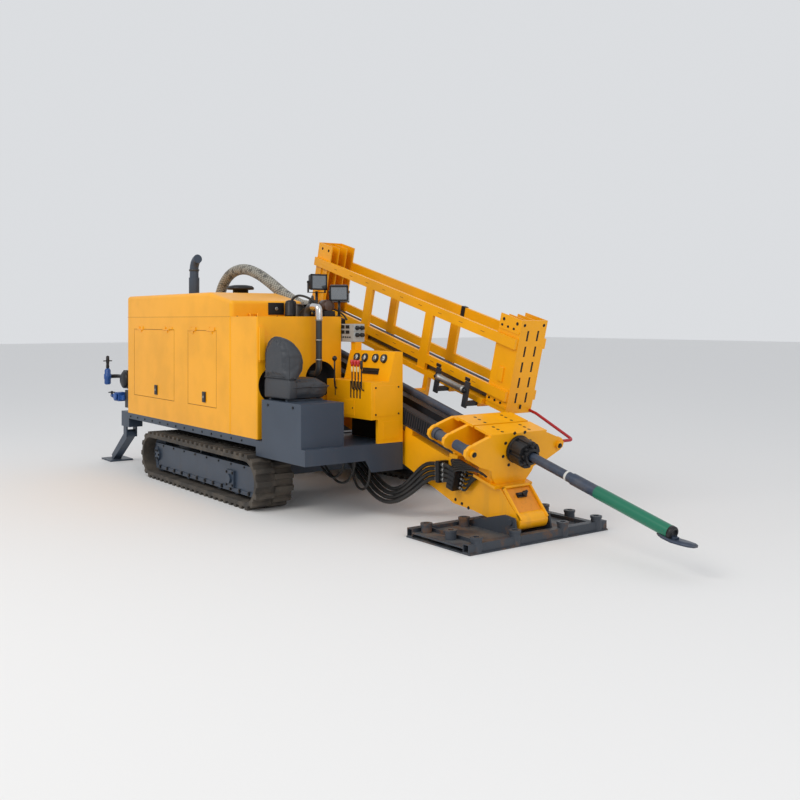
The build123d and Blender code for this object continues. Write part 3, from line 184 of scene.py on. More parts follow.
def plainPaint(name, colour, rough, metallic=0.0, coat=0.0):
    # Small fittings: one colour with a little wear
    paint = Paint(name, metallic, coat)
    wear = paint.noise(45, 3)
    return paint.set(paint.blend(wear.step(0.5, 0.8) * 0.5, colour, tuple(c * 0.6 + 0.01 for c in colour)),
                     wear * 0.2 + (rough - 0.1))


def rustyPaint(name, colour, rust, dust):
    # Heavy plate left on the ground: rust in patches, pale dust on what faces up
    paint = Paint(name)
    patch, grain = paint.noise(5, 6, 0.65), paint.noise(55, 4)
    rusted = patch.step(0.52, 0.66) * (grain * 0.6 + 0.5)
    dusty = paint.axis("Z", "Normal").step(0.7, 0.95) * paint.noise(3.2, 4).step(0.40, 0.62) * 0.55
    base = paint.blend(rusted.clamped(), colour, rust)
    return paint.set(paint.blend(dusty, base, dust), rusted * 0.3 + 0.5, grain + patch, 0.001)


yellowDust, greyDust = (0.50, 0.25, 0.06), (0.13, 0.12, 0.115)
finishes = {"yellow_paint": sheetPaint("yellowPaint", (0.97, 0.425, 0.001), yellowDust, rough=0.4, coat=0.12,
                                       chips=0.25, chipColour=(0.20, 0.11, 0.04)),
            "grey_paint": sheetPaint("slatePaint", (0.044, 0.062, 0.092), greyDust, rough=0.45, coat=0.1,
                                     chips=0.35, chipColour=(0.13, 0.115, 0.10)),
            "mast_paint": sheetPaint("mastPaint", (0.028, 0.031, 0.038), greyDust, rough=0.5, coat=0.05),
            "track_rubber": rubberPaint("trackRubber", (0.040, 0.035, 0.030), (0.13, 0.108, 0.085)),
            "drill_steel": steelPaint("drillSteel", (0.045, 0.062, 0.098), (0.13, 0.125, 0.13),
                                      metallic=0.45), "green_paint": sheetPaint("greenPaint",
                                                                                (0.004, 0.155, 0.085),
                                                                                (0.07, 0.11, 0.085),
                                                                                chips=0.8,
                                                                                chipColour=(0.08, 0.08, 0.08),
                                                                                dirtTop=0.3),
            "polished_rod": steelPaint("polishedRod", (0.55, 0.56, 0.58), (0.35, 0.35, 0.36), rough=0.22,
                                       metallic=1.0), "black_fitting": sheetPaint("blackFitting",
                                                                                  (0.013, 0.013, 0.015),
                                                                                  (0.06, 0.055, 0.05),
                                                                                  rough=0.42, coat=0.05),
            "black_hose": rubberPaint("blackHose", (0.010, 0.010, 0.010), (0.045, 0.04, 0.035), rough=0.45,
                                      amount=0.3), "braid": braidPaint("braidedSleeve"),
            "seat_vinyl": rubberPaint("seatVinyl", (0.032, 0.037, 0.046), (0.055, 0.058, 0.064), rough=0.5,
                                      amount=0.3), "box_grey": sheetPaint("boxGrey", (0.42, 0.45, 0.45),
                                                                          (0.3, 0.3, 0.28), rough=0.45,
                                                                          dirtTop=0.1),
            "pipe_grey": sheetPaint("pipeGrey", (0.035, 0.038, 0.042), (0.1, 0.1, 0.095), rough=0.45,
                                    dirtTop=0.1), "blue_paint": sheetPaint("bluePaint", (0.02, 0.09, 0.33),
                                                                           (0.06, 0.09, 0.16), rough=0.4),
            "red_paint": sheetPaint("redPaint", (0.42, 0.012, 0.02), (0.2, 0.05, 0.04), rough=0.4,
                                    dirtTop=0.1), "chrome": plainPaint("chrome", (0.62, 0.62, 0.62), 0.25,
                                                                       metallic=1.0),
            "zinc": plainPaint("zinc", (0.36, 0.36, 0.35), 0.42, metallic=0.9),
            "brass": plainPaint("brass", (0.55, 0.36, 0.10), 0.35, metallic=1.0),
            "lens": plainPaint("lampLens", (0.20, 0.22, 0.24), 0.18, metallic=0.8, coat=0.6),
            "dialFace": plainPaint("dialFace", (0.82, 0.82, 0.78), 0.3, coat=0.8),
            "redKnob": plainPaint("redKnob", (0.55, 0.01, 0.012), 0.3, coat=0.5),
            "cream": plainPaint("creamShaft", (0.70, 0.58, 0.30), 0.4),
            # painted shade: near black standing for the shade inside openings, slots and holes and under the
            # console
            "shadeInOpening": plainPaint("paintedShadeOpening", (0.006, 0.006, 0.007), 0.85),
            "brown": plainPaint("brownDrum", (0.07, 0.035, 0.022), 0.4, coat=0.2),
            # painted shade: the yellow paint darkened to orange, for a face turned away from the light
            "yellowInShade": plainPaint("yellowInShade", (0.78, 0.27, 0.008), 0.5),
            # painted shade: a darker yellow for the shade in panel grooves and pressed dashes
            "grooveShade": plainPaint("grooveShade", (0.42, 0.15, 0.004), 0.7),
            "rustySlate": rustyPaint("rustySlate", (0.036, 0.044, 0.058), (0.16, 0.075, 0.028),
                                     (0.15, 0.145, 0.135)),
            "paleRing": plainPaint("paleRing", (0.6, 0.6, 0.57), 0.5),}
for part in frame["record"]["subparts"]:
    mesh = nodes[part["node"]].data
    mesh.materials.clear()
    mesh.materials.append(finishes["rustySlate" if part["node"] == "anchor_plate" else part["material_slot"]])
print("finishes on every node")


# shapes: one bmesh per piece, built from bevelled blocks, turned profiles and tubes
def spot(at=(0, 0, 0), z=(0, 0, 1), x=(1, 0, 0)):
    # A local frame at a point, with its z and x turned as given
    z = Vector(z).normalized()
    y = z.cross(Vector(x if abs(z.dot(Vector(x))) < 0.9 else (0, 1, 0))).normalized()
    x = y.cross(z)
    return Matrix(((x.x, y.x, z.x, at[0]), (x.y, y.y, z.y, at[1]), (x.z, y.z, z.z, at[2]), (0, 0, 0, 1)))


def forward(*at):  # a local frame whose z points to the machine's front
    return spot(at, (1, 0, 0))


def toRight(*at):  # a local frame whose z points to the machine's right
    return spot(at, (0, -1, 0))


def circle(count, radius=1.0, start=0.0):
    turns = [start + 2 * math.pi * k / count for k in range(count)]
    return [(radius * math.cos(turn), radius * math.sin(turn)) for turn in turns]


def border(x0, x1, y0, y1, wide):  # the four strips just inside an outline
    return (((x0, y0), (x1, y0 + wide)), ((x0, y1 - wide), (x1, y1)),
            ((x0, y0), (x0 + wide, y1)), ((x1 - wide, y0), (x1, y1)))


def added(name, data):
    piece = bpy.data.objects.new(name, data)
    bpy.context.scene.collection.objects.link(piece)
    return piece


def frozen(piece):  # the piece's mesh with its modifiers applied
    bpy.context.view_layer.update()
    return bpy.data.meshes.new_from_object(piece.evaluated_get(bpy.context.evaluated_depsgraph_get()))


class Shape:
    def __init__(self, at=None):
        self.mesh, self.at = bmesh.new(), at or Matrix()
        self.uvMap = self.mesh.loops.layers.uv.new("UVMap")

    def block(self, low, high, bevel=0.003, at=None):
        size = [b - a for a, b in zip(low, high)]
        middle = [(a + b) / 2 for a, b in zip(low, high)]
        made = bmesh.ops.create_cube(self.mesh, size=1, matrix=self.at @ (at or Matrix())
                                     @ Matrix.Translation(middle) @ Matrix.Diagonal((*size, 1)))
        edges = dict.fromkeys(edge for vert in made["verts"] for edge in vert.link_edges)
        if bevel:
            bmesh.ops.bevel(self.mesh, geom=list(edges), offset=bevel, segments=2, profile=0.7,
                            affect="EDGES")
        return self

    def turned(self, profile, at=None, sides=28, ring=False):
        # profile: (height along the frame's z, radius) from end to end, or all round for a ring
        place, rings = self.at @ (at or Matrix()), []
        for height, radius in profile:
            if radius < 1e-6:
                rings.append([self.mesh.verts.new(place @ Vector((0, 0, height)))])
            else:
                rings.append([self.mesh.verts.new(place @ Vector((x, y, height))) for x,
                              y in circle(sides, radius)])
        for below, above in zip(rings, [*rings[1:], rings[0]] if ring else rings[1:]):
            for k in range(sides):
                after = (k + 1) % sides
                corners = dict.fromkeys((below[k % len(below)], below[after % len(below)],
                                         above[after % len(above)], above[k % len(above)]))
                if len(corners) > 2:
                    face = self.mesh.faces.new(list(corners))
                    face.smooth = True
                    for loop in face.loops:
                        loop[self.uvMap].uv = (k / sides, 0 if loop.vert in below else 1)
        for end in () if ring else (rings[0], rings[-1]):
            if len(end) > 1:
                self.mesh.faces.new(end)
        return self

    def pipe(self, points, radius, sides=12, round=0):
        path = softened([self.at @ Vector(point) for point in points], round)
        side = Vector((0, 1, 0)) if abs((path[1] - path[0]).normalized().y) < 0.9 else Vector((1, 0, 0))
        rings = []
        for i, here in enumerate(path):
            ahead = (path[min(i + 1, len(path) - 1)] - path[max(i - 1, 0)]).normalized()
            side = (side - ahead * side.dot(ahead)).normalized()
            up = ahead.cross(side)
            rings.append([self.mesh.verts.new(here + (side * x + up * y) * radius) for x, y in circle(sides)])
        return self.skin(rings)

    def loft(self, rings):
        # rings: lists of points, each with as many
        return self.skin([[self.mesh.verts.new(self.at @ Vector(point)) for point in ring] for ring in rings])

    def skin(self, rings):  # faces from ring to ring, and one over each end
        count = len(rings[0])
        for below, above in zip(rings, rings[1:]):
            for k in range(count):
                after = (k + 1) % count
                self.mesh.faces.new((below[k], below[after], above[after], above[k])).smooth = True
        self.mesh.faces.new(rings[0][::-1])
        self.mesh.faces.new(rings[-1])
        return self

    def data(self, name, material):
        bmesh.ops.recalc_face_normals(self.mesh, faces=self.mesh.faces)
        mesh = bpy.data.meshes.new(name)
        self.mesh.to_mesh(mesh)
        self.mesh.free()
        mesh.materials.append(material)
        return mesh

    def finish(self, name, body, finish, replaces=()):
        piece = added(name, self.data(name, finishes[finish]))
        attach(piece, body)
        if replaces:
            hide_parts(*replaces)
        return piece


def softened(path, rounds):
    for _ in range(rounds):
        path = [path[0], *[point for a, b in zip(path, path[1:])
                           for point in (a.lerp(b, 0.25), a.lerp(b, 0.75))], path[-1]]
    return path


# hoses
def routeOf(points):
    curve = bpy.data.curves.new("route", "CURVE")
    curve.dimensions = "3D"
    spline = curve.splines.new("NURBS")
    spline.points.add(len(points) - 1)
    for point, at in zip(spline.points, points):
        point.co = (*at, 1)
    spline.order_u, spline.use_endpoint_u, spline.resolution_u = 3, True, 12
    line = added("route", curve)
    path = [vertex.co.copy() for vertex in frozen(line).vertices]
    bpy.data.objects.remove(line)
    return path


def layTube(name, path, radius, material, sides):
    # A closed tube round a path, with a UV map that runs round it and along it
    tube, reach = Shape().pipe(path, radius, sides), [0.0]
    for a, b in zip(path, path[1:]):
        reach.append(reach[-1] + (b - a).length)
    for number, face in enumerate(tube.mesh.faces):
        i, k = divmod(number, sides)
        if len(face.verts) == 4:
            for loop, (u, far) in zip(face.loops, ((k, i), (k + 1, i), (k + 1, i + 1), (k, i + 1))):
                loop[tube.uvMap].uv = (u / sides, reach[far] / (2 * math.pi * radius))
    return added(name, tube.data(name, material))


sleeve = {
    "radius": 0.055, "y": -0.305,
    "route": [(-2.33, 1.44), (-2.33, 1.70), (-2.25, 1.94), (-2.03, 2.10), (-1.72, 2.14), (-1.41, 2.075),
              (-1.13, 1.965), (-0.88, 1.85), (-0.66, 1.77), (-0.49, 1.725), (-0.33, 1.725)],   # x, z
}
mastHoses = {
    "radius": 0.017, "count": 4,
    # the top hose and the bottom one; the two between are shares of both
    "first": [(0.06, -0.24, 0.465), (0.14, -0.24, 0.465), (0.28, -0.246, 0.442), (0.43, -0.256, 0.39),
              (0.59, -0.268, 0.308), (0.73, -0.276, 0.24), (0.85, -0.279, 0.206), (0.945, -0.272, 0.216),
              (1.028, -0.256, 0.262), (1.102, -0.232, 0.338), (1.18, -0.204, 0.42), (1.276, -0.195, 0.465),
              (1.39, -0.195, 0.465)],
    "last": [(0.06, -0.366, 0.465), (0.14, -0.366, 0.465), (0.28, -0.366, 0.418), (0.43, -0.376, 0.346),
             (0.59, -0.376, 0.24), (0.74, -0.374, 0.15), (0.88, -0.364, 0.112), (0.995, -0.346, 0.124),
             (1.095, -0.312, 0.172), (1.168, -0.262, 0.236), (1.232, -0.214, 0.308), (1.304, -0.195, 0.351),
             (1.39, -0.195, 0.351)],
}
pilotHoses = {
    "radius": 0.010,
    "routes": [
        [(0.06, -0.56, 0.47), (0.135, -0.56, 0.47), (0.235, -0.552, 0.39), (0.33, -0.54, 0.285),
         (0.44, -0.522, 0.22), (0.55, -0.508, 0.24), (0.63, -0.502, 0.32), (0.665, -0.5, 0.44),
         (0.665, -0.5, 0.575)],
        [(0.06, -0.61, 0.47), (0.13, -0.61, 0.47), (0.215, -0.604, 0.415), (0.3, -0.592, 0.33),
         (0.4, -0.58, 0.27), (0.5, -0.568, 0.285), (0.57, -0.562, 0.36), (0.6, -0.56, 0.46),
         (0.6, -0.56, 0.575)],
        [(0.56, -0.46, 0.575), (0.56, -0.46, 0.4), (0.58, -0.46, 0.265), (0.65, -0.46, 0.195),
         (0.74, -0.46, 0.2), (0.805, -0.46, 0.275), (0.82, -0.46, 0.4), (0.82, -0.46, 0.575)],
    ],
}


def layHose(node, points, radius, slot, blended=None, sides=16):
    path = routeOf(points)
    hose = layTube(node + "_cover", path, radius, finishes[slot], sides)
    if blended:
        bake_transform(hose)
    else:
        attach(hose, "carrier")
    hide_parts(node)


layHose("hose_sleeve", [(x, sleeve["y"], z) for x, z in sleeve["route"]], sleeve["radius"], "braid",
        sides=32)
for i in range(mastHoses["count"]):
    share = i / (mastHoses["count"] - 1)
    points = [tuple(a + (b - a) * share for a, b in zip(top, low)) for top, low in
              zip(mastHoses["first"], mastHoses["last"])]
    layHose(f"mast_hose_{i + 1}", points, mastHoses["radius"], "black_hose",
            blended=(points[2], points[-1]))
for i, points in enumerate(pilotHoses["routes"]):
    layHose(f"pilot_hose_{i + 1}", points, pilotHoses["radius"], "black_hose")
print("hoses laid")

# the operator's seat: a stitched cover over foam, facing the machine's left
seat = {
    "left": 0.112, "right": 0.542, "rear": -1.062, "base": 0.955, "top": 1.470,
    "archHeight": 0.195, "voxel": 0.006, "pressure": 4.0, "clothFrames": 20, "swell": 0.022, "inset": 0.004,
    "crease": 0.0035, "piping": 0.0045, "halfCushion": 0.215, "halfSkirt": 0.206,
    # height, front edge of the back cover
    "back": [(1.115, -0.975), (1.135, -0.945), (1.19, -0.905), (1.25, -0.893), (1.31, -0.905), (1.37, -0.935),
             (1.42, -0.975), (1.45, -1.01), (1.468, -1.04)],
    # height, rear edge, front edge, how far the sides stand out
    "cushion": [(0.958, -1.045, -0.69, 0.93), (0.99, -1.056, -0.655, 0.99), (1.04, -1.06, -0.637, 1.0),
                (1.075, -1.055, -0.66, 0.97), (1.095, -1.03, -0.72, 0.9)],
    "skirt": [(0.957, -1.058, -0.985, 1.0), (0.97, -1.061, -0.975, 1.02), (1.05, -1.061, -0.965, 1.03),
              (1.09, -1.060, -0.975, 1.01), (1.125, -1.052, -0.995, 0.96)],
}


def roundedRing(x0, x1, y0, y1, z, front, rear=9.0, count=64):
    # One level of a cushion: a squared-off oval, its rear side flatter than its front
    def squared(share, low, high, corner):
        return (low + high) / 2 + (high - low) / 2 * math.copysign(abs(share) ** (2 / corner), share)

    return [(squared(c, x0, x1, front if s > 0 else rear), squared(s, y0, y1, front if s > 0 else rear), z)
            for c, s in circle(count)]


def halfWidth(z):  # the back narrows to its arched top
    start = seat["top"] - seat["archHeight"]
    rise = max(0, min(1, (z - start) / seat["archHeight"]))
    return (seat["right"] - seat["left"]) / 2 * math.sqrt(max(0.03, 1 - rise ** 2.2))


def frontOf(z):  # front face of the back cover at a height
    levels = seat["back"]
    for (z0, y0), (z1, y1) in zip(levels, levels[1:]):
        if z <= z1:
            return y0 + (y1 - y0) * max(0, z - z0) / (z1 - z0)
    return levels[-1][1]


def swollen(name, rings):
    # A cushion form blown up a little as cloth, so that its faces crown between the seams
    piece = added(name, Shape().loft(rings).data(name, finishes["seat_vinyl"]))
    remesh = piece.modifiers.new("remesh", "REMESH")
    remesh.mode, remesh.voxel_size = "VOXEL", seat["voxel"]
    solid = frozen(piece)
    piece.modifiers.remove(remesh)
    piece.data = solid
    start = [vertex.co.copy() for vertex in solid.vertices]
    cloth = piece.modifiers.new("cloth", "CLOTH")
    cloth.settings.use_pressure, cloth.settings.uniform_pressure_force = True, seat["pressure"]
    cloth.settings.effector_weights.gravity = 0
    for step in range(seat["clothFrames"]):
        bpy.context.scene.frame_set(step + 1)
    blown = frozen(piece)
    piece.modifiers.remove(cloth)
    bpy.context.scene.frame_set(1)
    for vertex, was in zip(blown.vertices, start):
        move = vertex.co - was
        if move.length > seat["swell"]:
            move = move.normalized() * seat["swell"]
        vertex.co = was + (move if move.dot(vertex.normal) > 0 else move * 0.3)  # corners keep their seams
    piece.data = blown
    piece.data.materials.clear()
    piece.data.materials.append(finishes["seat_vinyl"])
    for face in piece.data.polygons:
        face.use_smooth = True
    return piece


middleX = (seat["left"] + seat["right"]) / 2
inset = seat["inset"]
backRings = [roundedRing(middleX - halfWidth(z) + inset, middleX + halfWidth(z) - inset, seat["rear"] + inset,
                         front - inset * 0.6, z, 3.6) for z, front in seat["back"]]
cushionRings = [roundedRing(middleX - seat["halfCushion"] * share + inset,
                            middleX + seat["halfCushion"] * share - inset, rear + inset * 0.6,
                            front - inset * 0.6, z, 4.5) for z, rear, front, share in seat["cushion"]]
backCover = swollen("seat_back", backRings)
cushionCover = swollen("seat_cushion", cushionRings)
for cover in (backCover, cushionCover):
    for vertex in cover.data.vertices:  # shallow creases of a loose vinyl cover
        at = vertex.co
        crease = noise.noise(Vector((at.x * 9, at.y * 9, at.z * 26))) * seat["crease"]
        vertex.co = at + vertex.normal * crease
        vertex.co.z = max(vertex.co.z, seat["base"] + 0.001)
    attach(cover, "carrier")
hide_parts("seat")
waist = Shape().loft([roundedRing(middleX - seat["halfSkirt"] * share, middleX + seat["halfSkirt"] * share,
                                  rear, front, z, 6) for z, rear, front, share in seat["skirt"]])
for z, half, rear, front in ((1.128, 0.209, -1.060, -0.962), (1.052, 0.214, -1.057, -0.640)):  # welted seams
    ring = roundedRing(middleX - half, middleX + half, rear, front, z, 5)
    waist.pipe([*ring, ring[0]], seat["piping"], 8)
heights = [1.125 + 0.345 * k / 24 for k in range(25)]  # from the cushion up to the top of the back
for edge, y in ((0.014, seat["rear"] + 0.006), (0.012, None)):  # piping on the rear and the front edge
    arch = []
    for side, levels in ((-1, heights), (1, heights[::-1])):
        for z in levels:
            lean = y if y is not None else frontOf(z) - 0.034
            at = Vector((middleX + side * max(0.012, halfWidth(z) - edge), lean, z - 0.010))
            found, onSkin, outward, _ = backCover.closest_point_on_mesh(at)
            arch.append(onSkin + outward * 0.001 if found else at)
    waist.pipe(arch, seat["piping"], 8)
for k, (x, z, run) in enumerate(((0.20, 1.20, 0.10), (0.36, 1.29, 0.12), (0.27, 1.37, 0.09))):  # loose folds
    waist.pipe([(x, -1.059, z), (x + run * 0.5, -1.0605, z + 0.012 * (k - 1)), (x + run, -1.059, z - 0.006)],
               0.0035, 8, 2)
waist.finish("seat_seams", "carrier", "seat_vinyl")

# controls on the console
panel = {"lowY": -0.301, "highY": -0.238, "lowZ": 1.091, "highZ": 1.336}
panelRise = Vector((0, panel["highY"] - panel["lowY"], panel["highZ"] - panel["lowZ"]))
panelNormal = Vector((0, -panelRise.z, panelRise.y)).normalized()


def onPanel(x, z):
    return spot((x, panel["lowY"] + (z - panel["lowZ"]) / panelRise.z * panelRise.y, z), panelNormal)


dial = {"xs": (0.328, 0.452, 0.610, 0.734), "z": 1.275, "radius": 0.033, "needleTurns": (2.2, 0.6, 3.4, 1.4)}
bezels, faces, needles = Shape(), Shape(), Shape()
for x, turn in zip(dial["xs"], dial["needleTurns"]):
    place, r = onPanel(x, dial["z"]), dial["radius"]
    bezels.turned([(0, r + 0.006), (0.004, r + 0.006), (0.006, r + 0.002), (0.018, r + 0.002), (0.021, r),
                   (0.021, r - 0.003), (0.015, r - 0.004), (0.0148, 0)], place, 36)
    faces.turned([(0.0150, r - 0.0042), (0.0157, 0)], place, 36)
    needles.block((-0.0025, -0.010, 0.016), (0.0025, 0.026, 0.0172), 0.0004,
                  place @ Matrix.Rotation(turn, 4, "Z"))
    needles.turned([(0.015, 0.004), (0.018, 0.004), (0.019, 0.0)], place, 16)
    for k in range(9):
        needles.block((-0.0007, r - 0.011, 0.0158), (0.0007, r - 0.006, 0.0163), 0,
                      place @ Matrix.Rotation(math.radians(225 - k * 33.75 - 90), 4, "Z"))
bezels.finish("gauge_bezels", "carrier", "black_fitting", replaces=("gauges",))
faces.finish("gauge_faces", "carrier", "dialFace")
needles.finish("gauge_needles", "carrier", "black_fitting")
switches = Shape(onPanel(0.574, 1.166))
switches.block((-0.118, -0.026, 0), (0.118, 0.026, 0.008), 0.002)
for k in range(9):
    switches.turned([(0.008, 0.006), (0.013, 0.005), (0.024, 0.0028), (0.026, 0)],
                    Matrix.Translation((-0.096 + k * 0.024, 0, 0)), 12)
switches.finish("switch_strip", "carrier", "black_fitting")

lever = {"y": -0.505, "foot": 1.02, "face": -0.48, "slotLow": 0.95, "slotHigh": 1.09, "top": 1.245,
         "red": (0.622, 0.668, 0.714), "black": 0.760, "ball": 0.348}
shafts, redKnobs, blackKnobs, slots, creamShafts = Shape(), Shape(), Shape(), Shape(), Shape()
for x in (*lever["red"], lever["black"]):
    shafts.pipe([(x, lever["face"], lever["foot"]), (x, lever["y"] + 0.006, lever["foot"] + 0.004),
                 (x, lever["y"], lever["foot"] + 0.03), (x, lever["y"], 1.236)], 0.0055, 12, 2)
    slots.block((x - 0.056 - 0.009, lever["face"] - 0.0015, lever["slotLow"]),
                (x - 0.056 + 0.009, lever["face"] + 0.001, lever["slotHigh"]), 0.0005)
for x in lever["red"]:
    place = spot((x, lever["y"], lever["top"]))
    creamShafts.turned([(-0.075, 0.007), (-0.07, 0.0085), (-0.032, 0.0085), (-0.03, 0)], place, 16)
    redKnobs.turned([(-0.03, 0.006), (-0.028, 0.010), (-0.012, 0.013), (0.004, 0.017), (0.016, 0.0165),
                     (0.024, 0.010), (0.0265, 0)], place, 24)
blackKnobs.turned([(-0.04, 0.006), (-0.036, 0.011), (0.0, 0.012), (0.026, 0.0115), (0.032, 0.006),
                   (0.033, 0)], spot((lever["black"], lever["y"], lever["top"] - 0.01)), 20)
shafts.pipe([(lever["ball"], lever["face"], lever["foot"]), (lever["ball"], lever["y"], lever["foot"] + 0.01),
             (lever["ball"] + 0.004, lever["y"], 1.26)], 0.007, 12, 1)
blackKnobs.turned([(-0.022, 0.008), (-0.015, 0.017), (0.0, 0.022), (0.013, 0.018), (0.021, 0.008),
                   (0.0225, 0)], spot((lever["ball"] + 0.004, lever["y"], 1.272)), 24)
slots.block((0.318, lever["face"] - 0.0015, 0.956), (0.330, lever["face"] + 0.001, 1.076), 0.0005)
shafts.finish("lever_shafts", "carrier", "black_fitting", replaces=("levers",))
creamShafts.finish("lever_shafts_cream", "carrier", "cream")
redKnobs.finish("lever_knobs_red", "carrier", "redKnob")
blackKnobs.finish("lever_knobs_black", "carrier", "black_fitting")
# the slots in the console face are near black as painted shade inside them
slots.finish("lever_slots", "carrier", "shadeInOpening")

Shape().block((0.862, -0.447, 0.81), (0.8665, -0.192, 1.06), 0.0015).block(
    (0.862, -0.36, 0.62), (0.8665, -0.192, 0.765), 0.0015).block(
    (0.23, -0.4825, 0.80), (0.62, -0.479, 0.93), 0.001).finish("console_covers", "carrier", "yellow_paint")
# the space under the console: near-black sheets painted as the shade there
Shape().block((0.192, -0.2215, 0.588), (0.833, -0.2202, 0.7825), 0).block(
    (0.192, -0.478, 0.7812), (0.833, -0.222, 0.7826), 0).finish("footwell_shade", "carrier", "shadeInOpening")

# electrical box over the console
housing, windows, plugs = Shape(), Shape(), Shape()
housing.block((0.031, -0.252, 1.407), (0.270, -0.140, 1.565), 0.006)
housing.block((0.027, -0.254, 1.50), (0.274, -0.138, 1.506), 0.002)
for x in (0.045, 0.256):
    for z in (1.42, 1.552):
        housing.turned([(0, 0.006), (0.003, 0.0055), (0.0035, 0)], toRight(x, -0.252, z), 12)
for x in (0.090, 0.168):
    for z in (1.556, 1.510):
        windows.block((x - 0.030, -0.2545, z - 0.032), (x + 0.030, -0.2515, z - 0.002), 0.001)
for x in (0.070, 0.105, 0.140, 0.175, 0.210):
    windows.turned([(0, 0.007), (0.004, 0.0065), (0.014, 0.003), (0.016, 0)], toRight(x, -0.252, 1.448), 12)
for y, z in ((-0.222, 1.53), (-0.172, 1.53), (-0.222, 1.468), (-0.172, 1.468)):
    plugs.turned([(0, 0.019), (0.005, 0.019), (0.005, 0.015), (0.018, 0.014), (0.018, 0.017), (0.030, 0.016),
                  (0.032, 0.010), (0.034, 0)], forward(0.270, y, z), 20)
housing.finish("control_box_shell", "carrier", "box_grey", replaces=("control_box",))
# the windows are near black as painted shade behind them
windows.finish("control_box_windows", "carrier", "shadeInOpening")
plugs.finish("control_box_plugs", "carrier", "black_fitting")

# work lights on their posts
deckTop, hoodFace = 1.631, -1.104
lights = {"halfWidth": 0.0835, "halfHeight": 0.071, "halfDepth": 0.0425, "rim": 0.014,
          "at": ((-0.042, -0.444, 1.937, 0, 0), (0.060, -0.272, 1.850, -35, 18)),
          # outline of the housing as shares of its half width and height
          "outline": ((1, 0.86), (0.88, 1), (-0.88, 1), (-1, 0.86), (-1, -0.86), (-0.88, -1), (0.88, -1),
                      (1, -0.86))}
w, h, d, rim = lights["halfWidth"], lights["halfHeight"], lights["halfDepth"], lights["rim"]
lightLevels = ((d, w, h), (d - 0.02, w, h), (-d * 0.3, w * 0.92, h * 0.92), (-d, w * 0.66, h * 0.6))
shells, lenses = Shape(), Shape()
for x, y, z, turn, nod in lights["at"]:
    place = (Matrix.Translation((x, y, z)) @ Matrix.Rotation(math.radians(turn), 4, "Z")
             @ Matrix.Rotation(math.radians(nod), 4, "Y"))
    shells.at = lenses.at = place
    shells.loft([[(x0, shareY * y0, shareZ * z0) for shareY, shareZ in lights["outline"]]
                 for x0, y0, z0 in lightLevels])
    for k in range(7):
        shells.block((-d - 0.001, -w * 0.6, -h * 0.55 + k * h * 0.18),
                     (-d * 0.55, w * 0.6, -h * 0.52 + k * h * 0.18), 0)
    for low, high in border(-w, w, -h, h, rim):
        shells.block((d - 0.004, *low), (d + 0.004, *high), 0.002)
    for side in (-1, 1):
        shells.block((-0.012, side * (w + 0.004) - 0.003, -h - 0.02),
                     (0.012, side * (w + 0.004) + 0.003, 0.012), 0.001)
        shells.turned([(0, 0.010), (0.008, 0.010), (0.008, 0)],
                      spot((0, side * (w + 0.004), 0), (0, side, 0)), 16)
    shells.block((-0.012, -w - 0.007, -h - 0.024), (0.012, w + 0.007, -h - 0.018), 0.001)
    lenses.block((d - 0.002, -w + rim, -h + rim), (d + 0.001, w - rim, h - rim), 0.001)
    shells.at = Matrix()
    shells.pipe([(x, y, deckTop), (x, y, z - h - 0.01)], 0.0122, 14)
    shells.turned([(0, 0.03), (0.006, 0.03), (0.008, 0.016), (0.02, 0.014)], spot((x, y, deckTop)), 20)
shells.finish("work_light_shells", "carrier", "black_fitting", replaces=("work_lights",))
lenses.finish("work_light_lenses", "carrier", "lens")
print("operator's side done")

# latches, hinges and seams of the hood
for body, x in (("rear_door", -2.088), ("front_door", -0.947)):
    place = toRight(x, hoodFace, 0.8875)
    Shape(place).block((-0.034, -0.049, 0.001), (0.034, 0.049, 0.011), 0.004).block(
        (-0.024, -0.038, 0.009), (0.024, 0.038, 0.013), 0.002).finish(body + "_latch", body, "black_fitting")
    Shape(place).turned([(0.011, 0.013), (0.017, 0.012), (0.0175, 0.007), (0.015, 0)], sides=24).block(
        (-0.003, -0.011, 0.015), (0.003, 0.011, 0.019), 0.001).finish(body + "_lock", body, "zinc")
hoodFront = {"x": -0.405, "latchY": -0.6545, "latchZ": 1.702, "hookRight": -0.938, "hookLeft": -0.848,
             "hookZ": 1.656}
place = forward(hoodFront["x"], hoodFront["latchY"], hoodFront["latchZ"])
Shape(place).block((-0.080, -0.055, 0), (0.080, 0.055, 0.010), 0.004).block(
    (-0.066, -0.042, 0.008), (0.066, 0.042, 0.013), 0.002).finish("hood_latch", "carrier", "black_fitting")
Shape(place).turned([(0.012, 0.016), (0.018, 0.015), (0.0185, 0.008), (0.016, 0)]).finish(
    "hood_lock", "carrier", "zinc")
x, z = hoodFront["x"], hoodFront["hookZ"]
hook = Shape().block((x, hoodFront["hookRight"], z - 0.006), (x + 0.008, hoodFront["hookLeft"], z + 0.006),
                     0.002)
for y in (hoodFront["hookRight"] + 0.008, hoodFront["hookLeft"] - 0.008):
    hook.pipe([(x, y, z), (x + 0.03, y, z), (x + 0.034, y, 1.62)], 0.006, 10, 1)
hook.finish("hood_hook", "carrier", "yellow_paint")
seams, hinges = Shape(), Shape()
side = {"doorLow": 0.805, "doorHigh": 1.500, "doors": ((-2.690, -1.645), (-1.310, -0.700))}
seams.block((-2.896, hoodFace - 0.0006, 1.628), (-0.415, hoodFace, 1.631), 0)
